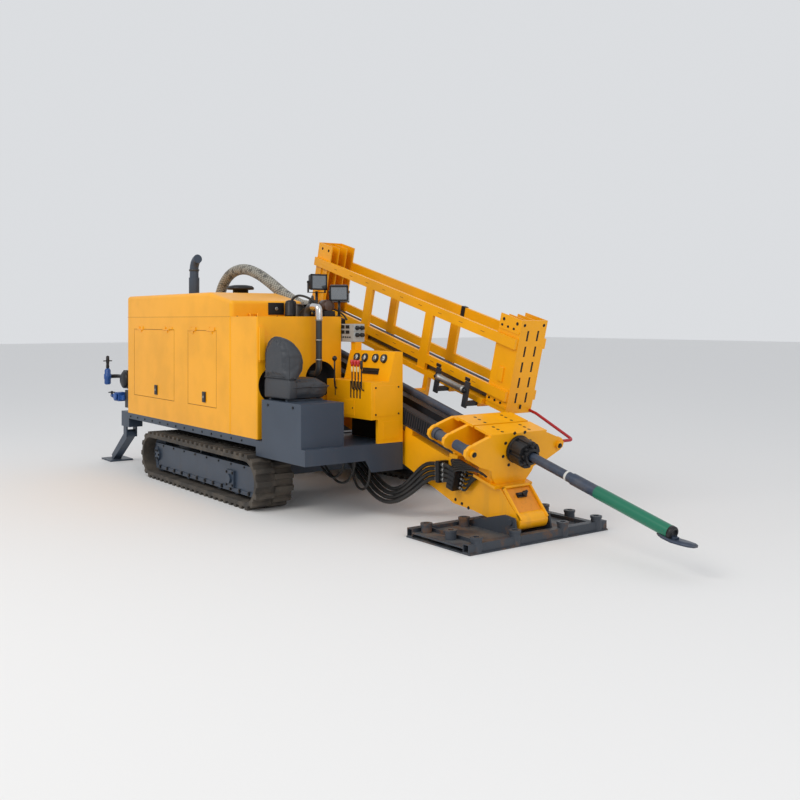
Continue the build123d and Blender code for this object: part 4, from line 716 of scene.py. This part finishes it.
for x0, x1 in side["doors"]:
    for low, high in border(x0 - 0.006, x1 + 0.006, side["doorLow"] - 0.006, side["doorHigh"] + 0.006, 0.004):
        seams.block((low[0], hoodFace - 0.0006, low[1]), (high[0], hoodFace, high[1]), 0)
    for x in (x0 + 0.09, x1 - 0.09):
        hinges.block((x - 0.045, hoodFace - 0.006, side["doorHigh"] + 0.006),
                     (x + 0.045, hoodFace, side["doorHigh"] + 0.03), 0.002)
# painted shade: the seam strips are darker yellow for the shade in the panel grooves
seams.finish("hood_seams", "carrier", "grooveShade")
hinges.finish("hood_hinges", "carrier", "yellow_paint")

# round arch openings painted near black inside as painted shade, locker door and its grip beside the seat
arches = Shape()
for y, z in ((-0.475, 1.085), (-0.934, 1.050)):
    arches.turned([(-0.1185, 0.1535), (-0.001, 0.1535), (-0.001, 0.1515), (-0.1165, 0.1515), (-0.1165, 0.0)],
                  forward(0.079, y, z), 40)
arches.finish("arch_opening_shade", "carrier", "shadeInOpening")
Shape().block((0.079, -1.085, 1.245), (0.089, -0.985, 1.470), 0.003).finish(
    "locker_door", "carrier", "yellow_paint")
Shape().pipe([(0.089, -1.0, 1.33), (0.112, -1.0, 1.33), (0.112, -1.0, 1.40), (0.089, -1.0, 1.40)],
             0.005, 10, 1).finish("locker_grip", "carrier", "zinc")

# suction riser with its bright elbow and clamps, filters and hoses on the tank
riser = {"x": 0.185, "y": -0.560, "radius": 0.027, "high": 1.715}
elbow, clips = Shape(), Shape()
x, y, z = riser["x"], riser["y"], riser["high"]
elbow.pipe([(x, y, 1.600), (x, y, z - 0.02), (x - 0.02, y, z), (x - 0.105, y, z)], riser["radius"] + 0.004,
           20, 2)
for z in (1.592, 1.25, 1.42):
    clips.turned([(0, 0.031), (0.012, 0.031)], spot((riser["x"], riser["y"], z)), 20)
elbow.finish("riser_elbow", "carrier", "chrome")
clips.finish("riser_clips", "carrier", "zinc")
cans, brown, lines, metals = Shape(), Shape(), Shape(), Shape()
cans.turned([(0, 0.055), (0.02, 0.058), (0.024, 0.052), (0.12, 0.052), (0.14, 0.044), (0.15, 0.02),
             (0.15, 0)], spot((-0.300, -0.560, deckTop)), 28)
cans.block((-0.330, -0.360, deckTop), (-0.270, -0.260, deckTop + 0.10), 0.004)
for k in range(5):
    z = deckTop + 0.10 + k * 0.012
    cans.block((-0.326, -0.356, z), (-0.274, -0.264, z + 0.006), 0.001)
cans.block((-0.215, -0.520, deckTop), (-0.110, -0.340, deckTop + 0.06), 0.004)
for y in (-0.495, -0.45, -0.405, -0.36):
    cans.turned([(0, 0.016), (0.028, 0.016), (0.03, 0.011), (0.052, 0.010), (0.056, 0)],
                spot((-0.16, y, deckTop + 0.06)), 16)
    metals.turned([(0, 0.014), (0.012, 0.014), (0.012, 0.009), (0.024, 0.009)],
                  forward(-0.110, y, deckTop + 0.03), 6)
cans.block((-0.090, -0.410, deckTop), (0.040, -0.300, deckTop + 0.05), 0.004)
brown.turned([(-0.085, 0.0), (-0.085, 0.045), (-0.078, 0.055), (0.0, 0.055), (0.008, 0.048), (0.02, 0.048),
              (0.028, 0.055), (0.034, 0.045), (0.035, 0)],
             forward(-0.0, -0.355, deckTop + 0.095), 30)
tankLines = (  # start, end, rise, radius, sway to the left
    ((-0.34, -0.27, 1.70), (-0.12, -0.495, 1.66), 0.085, 0.0105, -0.01),
    ((-0.34, -0.30, 1.72), (-0.12, -0.45, 1.66), 0.11, 0.0105, 0),
    ((-0.34, -0.33, 1.72), (-0.11, -0.405, 1.66), 0.06, 0.0105, 0.01),
    ((-0.30, -0.56, 1.77), (-0.05, -0.40, 1.70), 0.07, 0.0105, -0.01),
    ((-0.10, -0.36, 1.66), (0.05, -0.18, 1.60), 0.06, 0.008, 0),
    ((-0.20, -0.52, 1.66), (0.07, -0.50, 1.60), 0.06, 0.008, 0.01))
for start, end, rise, radius, sway in tankLines:
    a, b = Vector(start), Vector(end)
    lines.pipe([a, a.lerp(b, 0.2) + Vector((0, 0, rise)), a.lerp(b, 0.55) + Vector((0, sway, rise * 1.15)),
                a.lerp(b, 0.85) + Vector((0, 0, rise * 0.7)), b], radius, 12, 3)
for k in range(5):
    x = -0.21 + 0.02 * k
    metals.block((x, -0.345, deckTop + 0.06), (x + 0.01, -0.335, deckTop + 0.10), 0.002)
bracket = Shape()
bracket.block((-0.235, -0.545, deckTop), (-0.225, -0.335, deckTop + 0.115), 0.002)
bracket.block((-0.235, -0.545, deckTop + 0.107), (-0.10, -0.475, deckTop + 0.115), 0.002)
bracket.turned([(0, 0.030), (0.05, 0.030), (0.055, 0.022), (0.075, 0.022), (0.08, 0)],
               spot((-0.36, -0.44, deckTop)), 20)
bracket.pipe([(-0.36, -0.44, 1.70), (-0.33, -0.44, 1.735), (-0.26, -0.46, 1.735), (-0.235, -0.48, 1.70)],
             0.011, 12, 2)
bracket.finish("tank_bracket", "carrier", "zinc")
cans.finish("tank_filters", "carrier", "black_fitting", replaces=("tank_fittings",))
brown.finish("tank_drum", "carrier", "brown")
lines.finish("tank_lines", "carrier", "black_hose")
metals.finish("tank_unions", "carrier", "brass")

# intake cap and exhaust
Shape(spot((-1.170, -0.620, 0))).turned(
    [(1.85, 0.075), (1.895, 0.075), (1.895, 0.122), (1.898, 0.130), (1.915, 0.130), (1.932, 0.110),
     (1.940, 0.06), (1.940, 0)], sides=48).finish(
    "intake_cap_cover", "carrier", "black_fitting", replaces=("intake_cap",))
bands = Shape()
for z in (1.862, 1.90, 2.10):
    bands.turned([(0, 0.05), (0.004, 0.052), (0.016, 0.052), (0.02, 0.05)], spot((-1.890, -0.780, z)), 28)
bands.finish("exhaust_bands", "carrier", "pipe_grey")

# rod rack: slots, dashes, ribs and strap
rack = {"near": 0.340, "front": -0.650, "rail": 0.310}
marks, dashes, pads, strap = Shape(mastPlace), Shape(mastPlace), Shape(mastPlace), Shape(mastPlace)
for y in (0.425, 0.535):
    for n in (0.15, 0.28, 0.41, 0.54, 0.67):
        marks.block((rack["front"] - 0.0005, y - 0.009, n),
                    (rack["front"] + 0.0009, y + 0.009, n + 0.085), 0.0003)
for k in range(9):  # pressed dashes along the near rails
    for n in (0.205, 0.642):
        dashes.block((-3.40 + k * 0.29, rack["rail"] - 0.0009, n - 0.003),
                     (-3.35 + k * 0.29, rack["rail"] + 0.0005, n + 0.003), 0.0003)
# painted shade: the pressed dashes are darker yellow for the shade in their hollows
dashes.finish("rack_dashes", "mast", "grooveShade")
for s, n in ((-3.72, 0.79), (-3.60, 0.79), (-0.86, 0.80), (-0.70, 0.80)):
    marks.turned([(0, 0.014), (0.0012, 0.014)], toRight(s, rack["near"] - 0.0003, n), 20)
for y in (0.375, 0.585):
    marks.turned([(0, 0.013), (0.0012, 0.013)], forward(rack["front"], y, 0.800), 20)
# the rack's slots and round holes are near black as painted shade inside them
marks.finish("rack_slots", "mast", "shadeInOpening")
for s in (-3.70, -3.58):
    pads.block((s - 0.02, rack["near"] - 0.012, 0.25), (s + 0.02, rack["near"], 0.60), 0.003)
for n in (0.10, 0.24, 0.60, 0.72):
    pads.block((rack["front"] - 0.245, rack["near"] - 0.008, n),
               (rack["front"] - 0.01, rack["near"], n + 0.022), 0.003)
for y in (0.325, 0.62):
    pads.block((rack["front"] - 0.16, y, 0.30), (rack["front"] - 0.10, y + 0.02, 0.42), 0.005)
pads.finish("rack_ribs", "mast", "yellow_paint")
strap.block((-1.72, 0.615, 0.594), (-1.67, 0.656, 0.691), 0.002)
strap.block((rack["front"] + 0.0005, 0.478, 0.100), (rack["front"] + 0.012, 0.492, 0.135), 0.002)
strap.finish("rack_strap", "mast", "black_fitting")

# rod loader: cylinder and its joints
Shape(mastPlace @ forward(-1.355, 0.1925, 0.150)).turned(
    [(-0.02, 0.034), (0.0, 0.034), (0.01, 0.0275), (0.30, 0.0275), (0.305, 0.032), (0.33, 0.032),
     (0.335, 0.0)]).finish("loader_barrel", "loader", "zinc")
joints = Shape(mastPlace)
for s in (-1.42, -1.03):
    joints.block((s, 0.186, 0.235), (s + 0.056, 0.199, 0.262), 0.003)
    joints.turned([(0, 0.018), (0.012, 0.018), (0.012, 0.011), (0.022, 0.011)],
                  toRight(s + 0.028, 0.185, 0.15), 20)
joints.finish("loader_joints", "loader", "black_fitting")

# chuck: front ring with its teeth
teeth = Shape(mastPlace)
axis = forward(0, 0, 0)
teeth.turned([(-0.12, 0.1038), (-0.112, 0.108), (-0.100, 0.108), (-0.092, 0.1038)], axis, 48, ring=True)
for k in range(12):
    turn = Matrix.Rotation(math.radians(30 * k + 15), 4, "X")
    teeth.block((-0.035, 0.080, -0.011), (0.018, 0.1035, 0.011), 0.003, turn)
teeth.finish("chuck_teeth", "mast", "black_fitting")

# round eyes at the wing tips, where the clamp rods pass
wingTip = {"y": 0.432, "z": -0.005}
for name, body, places in (("wing_eyes_front", "mast", (-0.149,)),
                           ("wing_eyes_rear", "wrench", (-0.584, -0.404))):
    eyes = Shape(mastPlace)
    for s in places:
        for sign in (-1, 1):
            eyes.turned([(0.0, 0.040), (0.0, 0.056), (0.003, 0.0595), (0.025, 0.0595), (0.028, 0.056),
                         (0.028, 0.040)], forward(s, sign * wingTip["y"], wingTip["z"]), 36, ring=True)
    eyes.finish(name, body, "yellow_paint")

# valves under the vise with their hose ends
valves, unions, valveLines = Shape(mastPlace), Shape(mastPlace), Shape(mastPlace)
valves.block((-0.560, -0.235, -0.470), (-0.480, -0.138, -0.290), 0.004)
for k in range(5):
    n = -0.455 + k * 0.036
    valves.block((-0.556, -0.240, n), (-0.484, -0.233, n + 0.024), 0.002)
    unions.turned([(0, 0.013), (0.014, 0.013), (0.014, 0.009), (0.03, 0.009), (0.032, 0.012), (0.048, 0.011)],
                  forward(-0.478, -0.17, n + 0.012), 6)
    valveLines.pipe([(-0.455, -0.17, n + 0.012), (-0.40, -0.175, n + 0.012),
               (-0.34, -0.18 + 0.004 * k, -0.33 + 0.012 * k), (-0.30, -0.16, -0.29 + 0.004 * k)],
              0.009, 10, 3)
for z in (0.465, 0.427, 0.389, 0.351):
    for x in (1.355, 1.432):
        unions.turned([(0, 0.021), (0.022, 0.021), (0.026, 0.019)],
                      mastPlace.inverted() @ forward(x, -0.195, z), 6)
for k in range(6):  # short lines up to the clamp cylinders
    n, s, far = -0.300 - 0.012 * k, -0.548 + 0.012 * k, 0.035 * k
    valveLines.pipe([(s, -0.20, n), (s - 0.01, -0.235 - 0.004 * k, n + 0.06),
                     (s + 0.05 + 0.03 * k, -0.25, -0.215), (s + 0.10 + far, -0.235, -0.20),
                     (s + 0.13 + far, -0.19, -0.235)], 0.008, 10, 3)
for k in range(4):
    valveLines.pipe([(-0.60 - 0.02 * k, -0.142, -0.33 - 0.02 * k),
                     (-0.585, -0.175 - 0.006 * k, -0.34 - 0.03 * k), (-0.575, -0.20, -0.37 - 0.02 * k),
                     (-0.558, -0.20, -0.40 - 0.012 * k)], 0.0085, 10, 3)
    unions.turned([(0, 0.013), (0.016, 0.013), (0.018, 0.009), (0.026, 0.009)],
                  toRight(-0.60 - 0.02 * k, -0.138, -0.33 - 0.02 * k), 6)
valves.block((-0.615, -0.150, -0.500), (-0.570, -0.138, -0.280), 0.003)
valves.finish("vise_valves", "mast", "black_fitting", replaces=("valve_block",))
unions.finish("hose_unions", "mast", "zinc")
valveLines.finish("valve_lines", "mast", "black_hose")

# foot: flanges round its sunk front panel, with the key plate on it
footPin = mastPlace.inverted() @ Vector((2.190, 0, 0.140))
top, low = Vector((-0.060, 0, -0.272)), Vector((footPin.x + 0.065, 0, footPin.z + 0.02))
slope = (low - top).normalized()
face = mastPlace @ spot(top, Vector((-slope.z, 0, slope.x)), slope)
reach = (low - top).length
flanges, sunk, key = Shape(face), Shape(face), Shape(face)
for y in (-0.138, 0.122):
    flanges.block((0.002, y, -0.002), (reach - 0.012, y + 0.016, 0.020), 0.003)
flanges.block((0.0, -0.138, -0.002), (0.018, 0.138, 0.020), 0.003)
sunk.block((0.022, -0.118, 0.0002), (reach - 0.02, 0.118, 0.0012), 0)
key.block((0.065, -0.045, 0.001), (0.105, 0.045, 0.014), 0.004)
key.turned([(0.012, 0.020), (0.034, 0.020), (0.038, 0.012), (0.056, 0.012), (0.06, 0)],
           spot((0.085, 0.02, 0)), 18)
key.block((0.076, -0.05, 0.016), (0.092, -0.01, 0.030), 0.003)
flanges.finish("foot_flanges", "mast", "yellow_paint")
# painted shade: the sunk panel is the yellow paint darkened to orange, for a face turned from the light
sunk.finish("foot_panel", "mast", "yellowInShade")
key.finish("foot_latch", "mast", "black_fitting")

# drive head: ribs, motor caps and ports
motor = {"s": -3.20, "y": 0.09, "n": 0.190}
headMarks, ports = Shape(mastPlace), Shape(mastPlace)
for k in range(6):
    s = -2.99 + k * 0.026
    headMarks.block((s, -0.163, 0.13), (s + 0.010, 0.163, 0.263), 0.002)
for y in (-motor["y"], motor["y"]):
    for s in (-3.34, -3.02):
        headMarks.turned([(0, 0.0595), (0.004, 0.064), (0.022, 0.064), (0.026, 0.0595)],
                         forward(s, y, motor["n"]), 28, ring=True)
    ports.turned([(0.058, 0.013), (0.080, 0.013), (0.082, 0.009), (0.10, 0.009)],
                 spot((motor["s"], y, motor["n"])), 8)
    ports.pipe([(motor["s"], y, 0.285), (motor["s"], y, 0.31), (-3.16, y * 0.9, 0.325),
                (-3.05, y * 0.8, 0.30), (-2.99, y * 0.8, 0.262)], 0.009, 10, 3)
for s in (-3.16, -2.94):
    headMarks.turned([(0.028, 0.0475), (0.032, 0.051), (0.05, 0.051), (0.054, 0.0475)],
                     spot((s, -0.190, -0.1)), 28, ring=True)
headMarks.finish("head_ribs", "head", "mast_paint")
ports.finish("head_lines", "head", "black_hose")

# cutting blade with its bent edge, and the end cap of its housing
blade = {"z": -0.047, "bend": 1.345, "slope": 0.20}
plate, rings = Shape(mastPlace), []
for x, half in ((1.238, 0.018), (1.262, 0.036), (1.30, 0.046), (1.37, 0.050), (1.44, 0.049), (1.49, 0.040),
                (1.5225, 0.018)):
    z = blade["z"] + max(0, x - blade["bend"]) * blade["slope"]
    rings.append([(x, -half, z - 0.001), (x, half, z - 0.001), (x, half * 0.94, z + 0.015),
                  (x, -half * 0.94, z + 0.015)])
plate.loft(rings)
plate.block((1.334, -0.022, -0.034), (1.38, 0.022, -0.012), 0.004)
plate.finish("cutting_blade", "string", "drill_steel", replaces=("blade",))
Shape(mastPlace).turned([(1.322, 0.0455), (1.344, 0.0455), (1.352, 0.040), (1.353, 0.028), (1.346, 0.026),
                         (1.346, 0)], axis, 36).finish("housing_cap", "string", "black_fitting")
Shape(mastPlace).turned([(0.405, 0.0365), (0.410, 0.0375), (0.420, 0.0375), (0.425, 0.0365)], axis,
                        32).finish("string_mark", "string", "paleRing")

# mud pump and its valve
fitting, valveAxis = (-3.470, -1.120, 0), {"y": -1.085, "z": 0.745}
pump = Shape()
pump.block((-3.280, -1.015, 0.840), (-2.950, -0.800, 1.030), 0.012)
for x in (-3.24, -3.18, -3.12, -3.06, -3.00):
    pump.block((x - 0.006, -1.022, 0.836), (x + 0.006, -0.798, 1.036), 0.002)
pump.turned([(0, 0.0), (0, 0.060), (0.010, 0.078), (0.022, 0.095), (0.05, 0.095), (0.06, 0.088), (0.06, 0)],
            spot((-3.150, -1.075, 0.935), (0, 1, 0)), 36)
pump.block((-3.010, -1.090, 0.640), (-2.908, -0.820, 0.832), 0.004)
pump.pipe([(-3.280, -1.000, 0.960), (-3.44, -1.000, 0.960), (-3.470, -1.03, 0.960), (-3.470, -1.12, 0.960)],
          0.022, 16, 2)
pump.turned([(1.050, 0.012), (1.060, 0.020), (1.10, 0.016), (1.13, 0.020), (1.185, 0.018), (1.195, 0.008)],
            spot(fitting), 18)
pump.block((-3.476, -1.17, 1.13), (-3.464, -1.07, 1.142), 0.004)
pump.finish("mud_pump_body", "carrier", "black_fitting", replaces=("mud_pump",))
Shape(spot(fitting)).turned(
    [(0.868, 0.024), (0.880, 0.036), (0.93, 0.036), (0.935, 0.041), (0.985, 0.041), (0.99, 0.034),
     (1.03, 0.034), (1.05, 0.022)], sides=24).finish("mud_fitting", "carrier", "blue_paint")
valve = Shape()
valve.block((-3.200, -1.130, 0.700), (-3.110, -1.040, 0.800), 0.010)
valve.turned([(0, 0.030), (0.012, 0.044), (0.024, 0.044), (0.03, 0.030)], toRight(-3.155, -1.13, 0.75), 24)
valve.pipe([(-3.200, valveAxis["y"], valveAxis["z"]), (-3.43, valveAxis["y"], valveAxis["z"])], 0.018, 16)
valve.block((-3.110, -1.110, 0.720), (-3.010, -1.060, 0.770), 0.005)
for x in (-3.235, -3.30, -3.37):
    valve.turned([(0, 0.026), (0.012, 0.026)], forward(x, valveAxis["y"], valveAxis["z"]), 8)
valve.finish("mud_valve_body", "carrier", "blue_paint", replaces=("mud_valve",))
wheel = Shape(spot((-3.430, valveAxis["y"], 0)))
wheel.turned([(0.727, 0.010), (0.760, 0.014), (0.765, 0.012), (0.795, 0.012)])
for k in range(5):
    wheel.block((0.004, -0.004, 0.776), (0.037, 0.004, 0.784), 0.001,
                Matrix.Rotation(k * 2 * math.pi / 5, 4, "Z"))
wheel.pipe([(x, y, 0.780) for x, y in (*circle(24, 0.037), (0.037, 0))], 0.005, 8)
wheel.finish("mud_valve_wheel", "carrier", "black_fitting")

# lift cylinder: gland and ports
liftLine = {"base": Vector((-1.550, 0, 0.360)), "eye": Vector((-1.500, 0, 1.260))}
gland = Shape(spot(liftLine["base"], liftLine["eye"] - liftLine["base"], (0, 1, 0)))
gland.turned([(0.462, 0.0505), (0.465, 0.056), (0.500, 0.056), (0.506, 0.045), (0.507, 0.0305),
              (0.5055, 0.0305), (0.5055, 0.0502)], sides=32, ring=True)
gland.turned([(0.09, 0.0502), (0.093, 0.054), (0.11, 0.054), (0.113, 0.0502)], sides=32, ring=True)
for z in (0.13, 0.43):
    gland.turned([(0.045, 0.014), (0.068, 0.014), (0.070, 0.010), (0.085, 0.009)],
                 Matrix.Translation((0, 0, z)) @ spot((0, 0, 0), (0, 1, 0)), 8)
gland.finish("lift_gland", "lift_cylinder", "black_fitting")

# what shows of the engine when the side doors stand open
corners = [nodes["engine_block"].matrix_world @ Vector(corner) for corner in nodes["engine_block"].bound_box]
low, high = (Vector([pick(corner[i] for corner in corners) for i in range(3)]) for pick in (min, max))
engine, filters, pipes = Shape(), Shape(), Shape()
length, middle = high.x - low.x, (low.z + high.z) / 2
for k in range(6):
    x = low.x + length * (0.12 + 0.13 * k)
    engine.block((x, low.y - 0.012, low.z * 0.75 + high.z * 0.25), (x + length * 0.08, low.y, high.z - 0.03),
                 0.004)
    engine.block((x, low.y + 0.05, high.z), (x + length * 0.09, low.y + 0.20, high.z + 0.035), 0.010)
pipes.pipe([(low.x + 0.1 * length, low.y - 0.02, high.z - 0.06),
            (low.x + 0.5 * length, low.y - 0.024, high.z - 0.05),
            (high.x - 0.1 * length, low.y - 0.02, high.z - 0.08)], 0.012, 12, 2)
for x in (low.x + 0.3 * length, low.x + 0.72 * length):
    filters.turned([(-0.09, 0.0), (-0.09, 0.030), (-0.082, 0.036), (0.05, 0.036), (0.055, 0.030),
                    (0.06, 0.030), (0.06, 0)], spot((x, low.y - 0.030, middle)), 24)
engine.finish("engine_covers", "carrier", "grey_paint")
filters.finish("engine_filters", "carrier", "yellow_paint")
pipes.finish("engine_pipes", "carrier", "black_hose")
print("machine pieces done")

# bolts: one instanced hexagon head per point, one mesh per body
bolts = {}


def bolt(body, at, normal, size=0.009):
    bolts.setdefault(body, []).append((Vector(at), Vector(normal).normalized(), size))


def boltTree():
    tree = bpy.data.node_groups.new("bolt heads", "GeometryNodeTree")
    face = tree.interface
    face.new_socket("Points", in_out="INPUT", socket_type="NodeSocketGeometry")
    for name, kind, value in (("Head height", "NodeSocketFloat", 0.7),
                              ("Washer width", "NodeSocketFloat", 1.45), ("Seed", "NodeSocketInt", 7)):
        face.new_socket(name, in_out="INPUT", socket_type=kind).default_value = value
    face.new_socket("Finish", in_out="INPUT", socket_type="NodeSocketMaterial")
    face.new_socket("Bolts", in_out="OUTPUT", socket_type="NodeSocketGeometry")

    def add(kind, inputs, **settings):
        made = tree.nodes.new(kind)
        for name, value in settings.items():
            setattr(made, name, value)
        for key, values in inputs.items():
            for value in values if isinstance(values, list) else [values]:
                if isinstance(value, bpy.types.NodeSocket):
                    tree.links.new(value, made.inputs[key])
                else:
                    made.inputs[key].default_value = value
        return made.outputs

    given = add("NodeGroupInput", {})
    head = add("GeometryNodeMeshCylinder", {"Vertices": 6, "Radius": 1.0, "Depth": given["Head height"]})
    washer = add("GeometryNodeMeshCylinder", {"Vertices": 18, "Depth": 0.3, "Radius": given["Washer width"]})
    lift = add("GeometryNodeTransform", {"Geometry": head["Mesh"], "Translation": (0, 0, 0.45)})
    both = add("GeometryNodeJoinGeometry", {"Geometry": [lift["Geometry"], washer["Mesh"]]})
    turn = add("GeometryNodeInputNamedAttribute", {"Name": "turn"}, data_type="FLOAT_VECTOR")
    size = add("GeometryNodeInputNamedAttribute", {"Name": "size"}, data_type="FLOAT")
    put = add("GeometryNodeInstanceOnPoints", {"Points": given["Points"], "Instance": both["Geometry"],
                                               "Rotation": turn["Attribute"], "Scale": size["Attribute"]})
    chance = add("FunctionNodeRandomValue", {0: (0, 0, 0), 1: (0, 0, 1.05), "Seed": given["Seed"]},
                 data_type="FLOAT_VECTOR")
    spin = add("GeometryNodeRotateInstances", {"Instances": put["Instances"], "Rotation": chance[0]})
    real = add("GeometryNodeRealizeInstances", {"Geometry": spin["Instances"]})
    coat = add("GeometryNodeSetMaterial", {"Geometry": real["Geometry"], "Material": given["Finish"]})
    add("NodeGroupOutput", {"Bolts": coat["Geometry"]})
    return tree


def fastenAll(tree, finish):
    for body, points in bolts.items():
        mesh = bpy.data.meshes.new(body + "_bolts")
        mesh.from_pydata([at for at, _, _ in points], [], [])
        mesh.attributes.new("turn", "FLOAT_VECTOR", "POINT")
        mesh.attributes.new("size", "FLOAT", "POINT")
        turns, sizes = mesh.attributes["turn"], mesh.attributes["size"]
        for i, (_, normal, size) in enumerate(points):
            turns.data[i].vector = normal.to_track_quat("Z", "Y").to_euler()
            sizes.data[i].value = size
        piece = added(body + "_bolts", mesh)
        heads = piece.modifiers.new("bolts", "NODES")
        heads.node_group = tree
        for item in tree.interface.items_tree:
            if item.name == "Finish":
                heads[item.identifier] = finishes[finish]
        solid = frozen(piece)
        print(body, "bolts", len(points), "faces", len(solid.polygons))
        piece.modifiers.remove(heads)
        piece.data = solid
        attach(piece, body)


def along(count, start, end):
    return [Vector(start).lerp(Vector(end), k / (count - 1)) for k in range(count)]


def mastBolt(s, y, n, normal, size, body="mast"):
    bolt(body, onMast(s, y, n), mastPlace.to_3x3() @ Vector(normal), size)


for body, places in (("mast", (-0.265, -0.215, -0.165)), ("wrench", (-0.480, -0.430, -0.365))):
    for s in places:
        for y in (-0.135, 0.135):
            mastBolt(s, y, 0.116, (0, 0, 1), 0.013, body)
for y, n in circle(8, 0.135, 0.39):
    mastBolt(-0.1195, y, n, (1, 0, 0), 0.009)
for y, n in circle(6, 0.096):
    mastBolt(-0.088, y, n, (-1, 0, 0), 0.007)
for sign in (-1, 1):
    mastBolt(-0.098, sign * wingTip["y"], wingTip["z"], (1, 0, 0), 0.014)
for k in range(19):
    mastBolt(-4.3 + 0.2 * k, -0.160, -0.205, (0, -1, 0), 0.007)
for y, size, levels, places in ((0.340, 0.008, (0.13, 0.75), (-0.87, -0.80, -0.73)),
                                (-0.138, 0.009, (-0.57, -0.33), (-0.53, -0.45, -0.37))):
    for s in places:
        for n in levels:
            mastBolt(s, y, n, (0, -1, 0), size)
for x, z in ((0.27, 0.899), (0.679, 0.904)):
    bolt("carrier", (x, -1.104, z), (0, -1, 0), 0.009)
for y, z in ((-0.435, 1.045), (-0.205, 1.045), (-0.435, 0.825), (-0.205, 0.825)):
    bolt("carrier", (0.8665, y, z), (1, 0, 0), 0.006)
for x in (0.255, 0.425, 0.595):
    bolt("carrier", (x, -0.4825, 0.865), (0, -1, 0), 0.005)
for sign in (-1, 1):
    for count, size, z, rear, front in ((12, 0.014, 0.118, -1.98, -0.06), (8, 0.008, 0.333, -1.9, -0.15)):
        for at in along(count, (rear, sign * 1.106, z), (front, sign * 1.106, z)):
            bolt("carrier", at, (0, sign, 0), size)
    for dx, dz in circle(6, 0.045):
        bolt("carrier", (-2.039 + dx, sign * 1.121, 0.235 + dz), (0, sign, 0), 0.009)
    for dx, dz in ((-0.055, -0.055), (-0.055, 0.055), (0.055, -0.055), (0.055, 0.055)):
        bolt("carrier", (-0.403 + dx, sign * 1.121, 0.205 + dz), (0, sign, 0), 0.010)
for k in range(14):
    for sign in (-1, 1):
        bolt("carrier", (-2.8 + 0.2 * k, sign * 1.1045, 0.560), (0, sign, 0), 0.008)
for x, y in ((-0.03, -1.05), (-0.03, -0.85), (-0.03, -0.30), (-0.37, -1.06)):
    bolt("carrier", (x, y, deckTop + 0.0005), (0, 0, 1), 0.006)
fastenAll(boltTree(), "black_fitting")
print("bolts done")

# camera, floor and light
view = {"at": (7.32, -4.944, 1.6), "heading": (-0.805, 0.593, 0), "lens": 43.4, "shiftY": -0.1}
camera = added("camera", bpy.data.cameras.new("camera"))
camera.location = view["at"]
camera.rotation_euler = Vector(view["heading"]).to_track_quat("-Z", "Y").to_euler()
camera.data.lens, camera.data.sensor_width, camera.data.shift_y = view["lens"], 36, view["shiftY"]
camera.data.clip_end = 200
bpy.context.scene.camera = camera

studio = {"floor": (0.80, 0.80, 0.80), "sky": (0.95, 0.97, 1.0), "skyStrength": 0.75}
bpy.context.scene.view_settings.view_transform = "Standard"
bpy.ops.mesh.primitive_plane_add(size=120, location=(0, 0, -0.001))
floor = bpy.context.object
floor.name = "floor"
floor.data.materials.append(Paint("floorPaint").set(studio["floor"], 0.9))
world = bpy.data.worlds.new("studio")
world.use_nodes = True
sky = world.node_tree.nodes["Background"].inputs
sky["Color"].default_value, sky["Strength"].default_value = (*studio["sky"], 1), studio["skyStrength"]
bpy.context.scene.world = world
lamps = {
    "key": {"at": (2.0, -9.0, 8.0), "aim": (-0.5, 0, 1), "power": 420, "colour": (1.0, 0.96, 0.9)},
    "front": {"at": (11.0, -2.0, 5.0), "aim": (0.5, 0, 1), "power": 160, "colour": (1.0, 0.98, 0.95)},
}
for name, lamp in lamps.items():
    light = added(name, bpy.data.lights.new(name, "AREA"))
    light.data.size, light.data.energy, light.data.color = 5, lamp["power"], lamp["colour"]
    light.location = lamp["at"]
    light.rotation_euler = (Vector(lamp["aim"]) - Vector(lamp["at"])).to_track_quat("-Z", "Y").to_euler()
print("camera, floor and lights set")
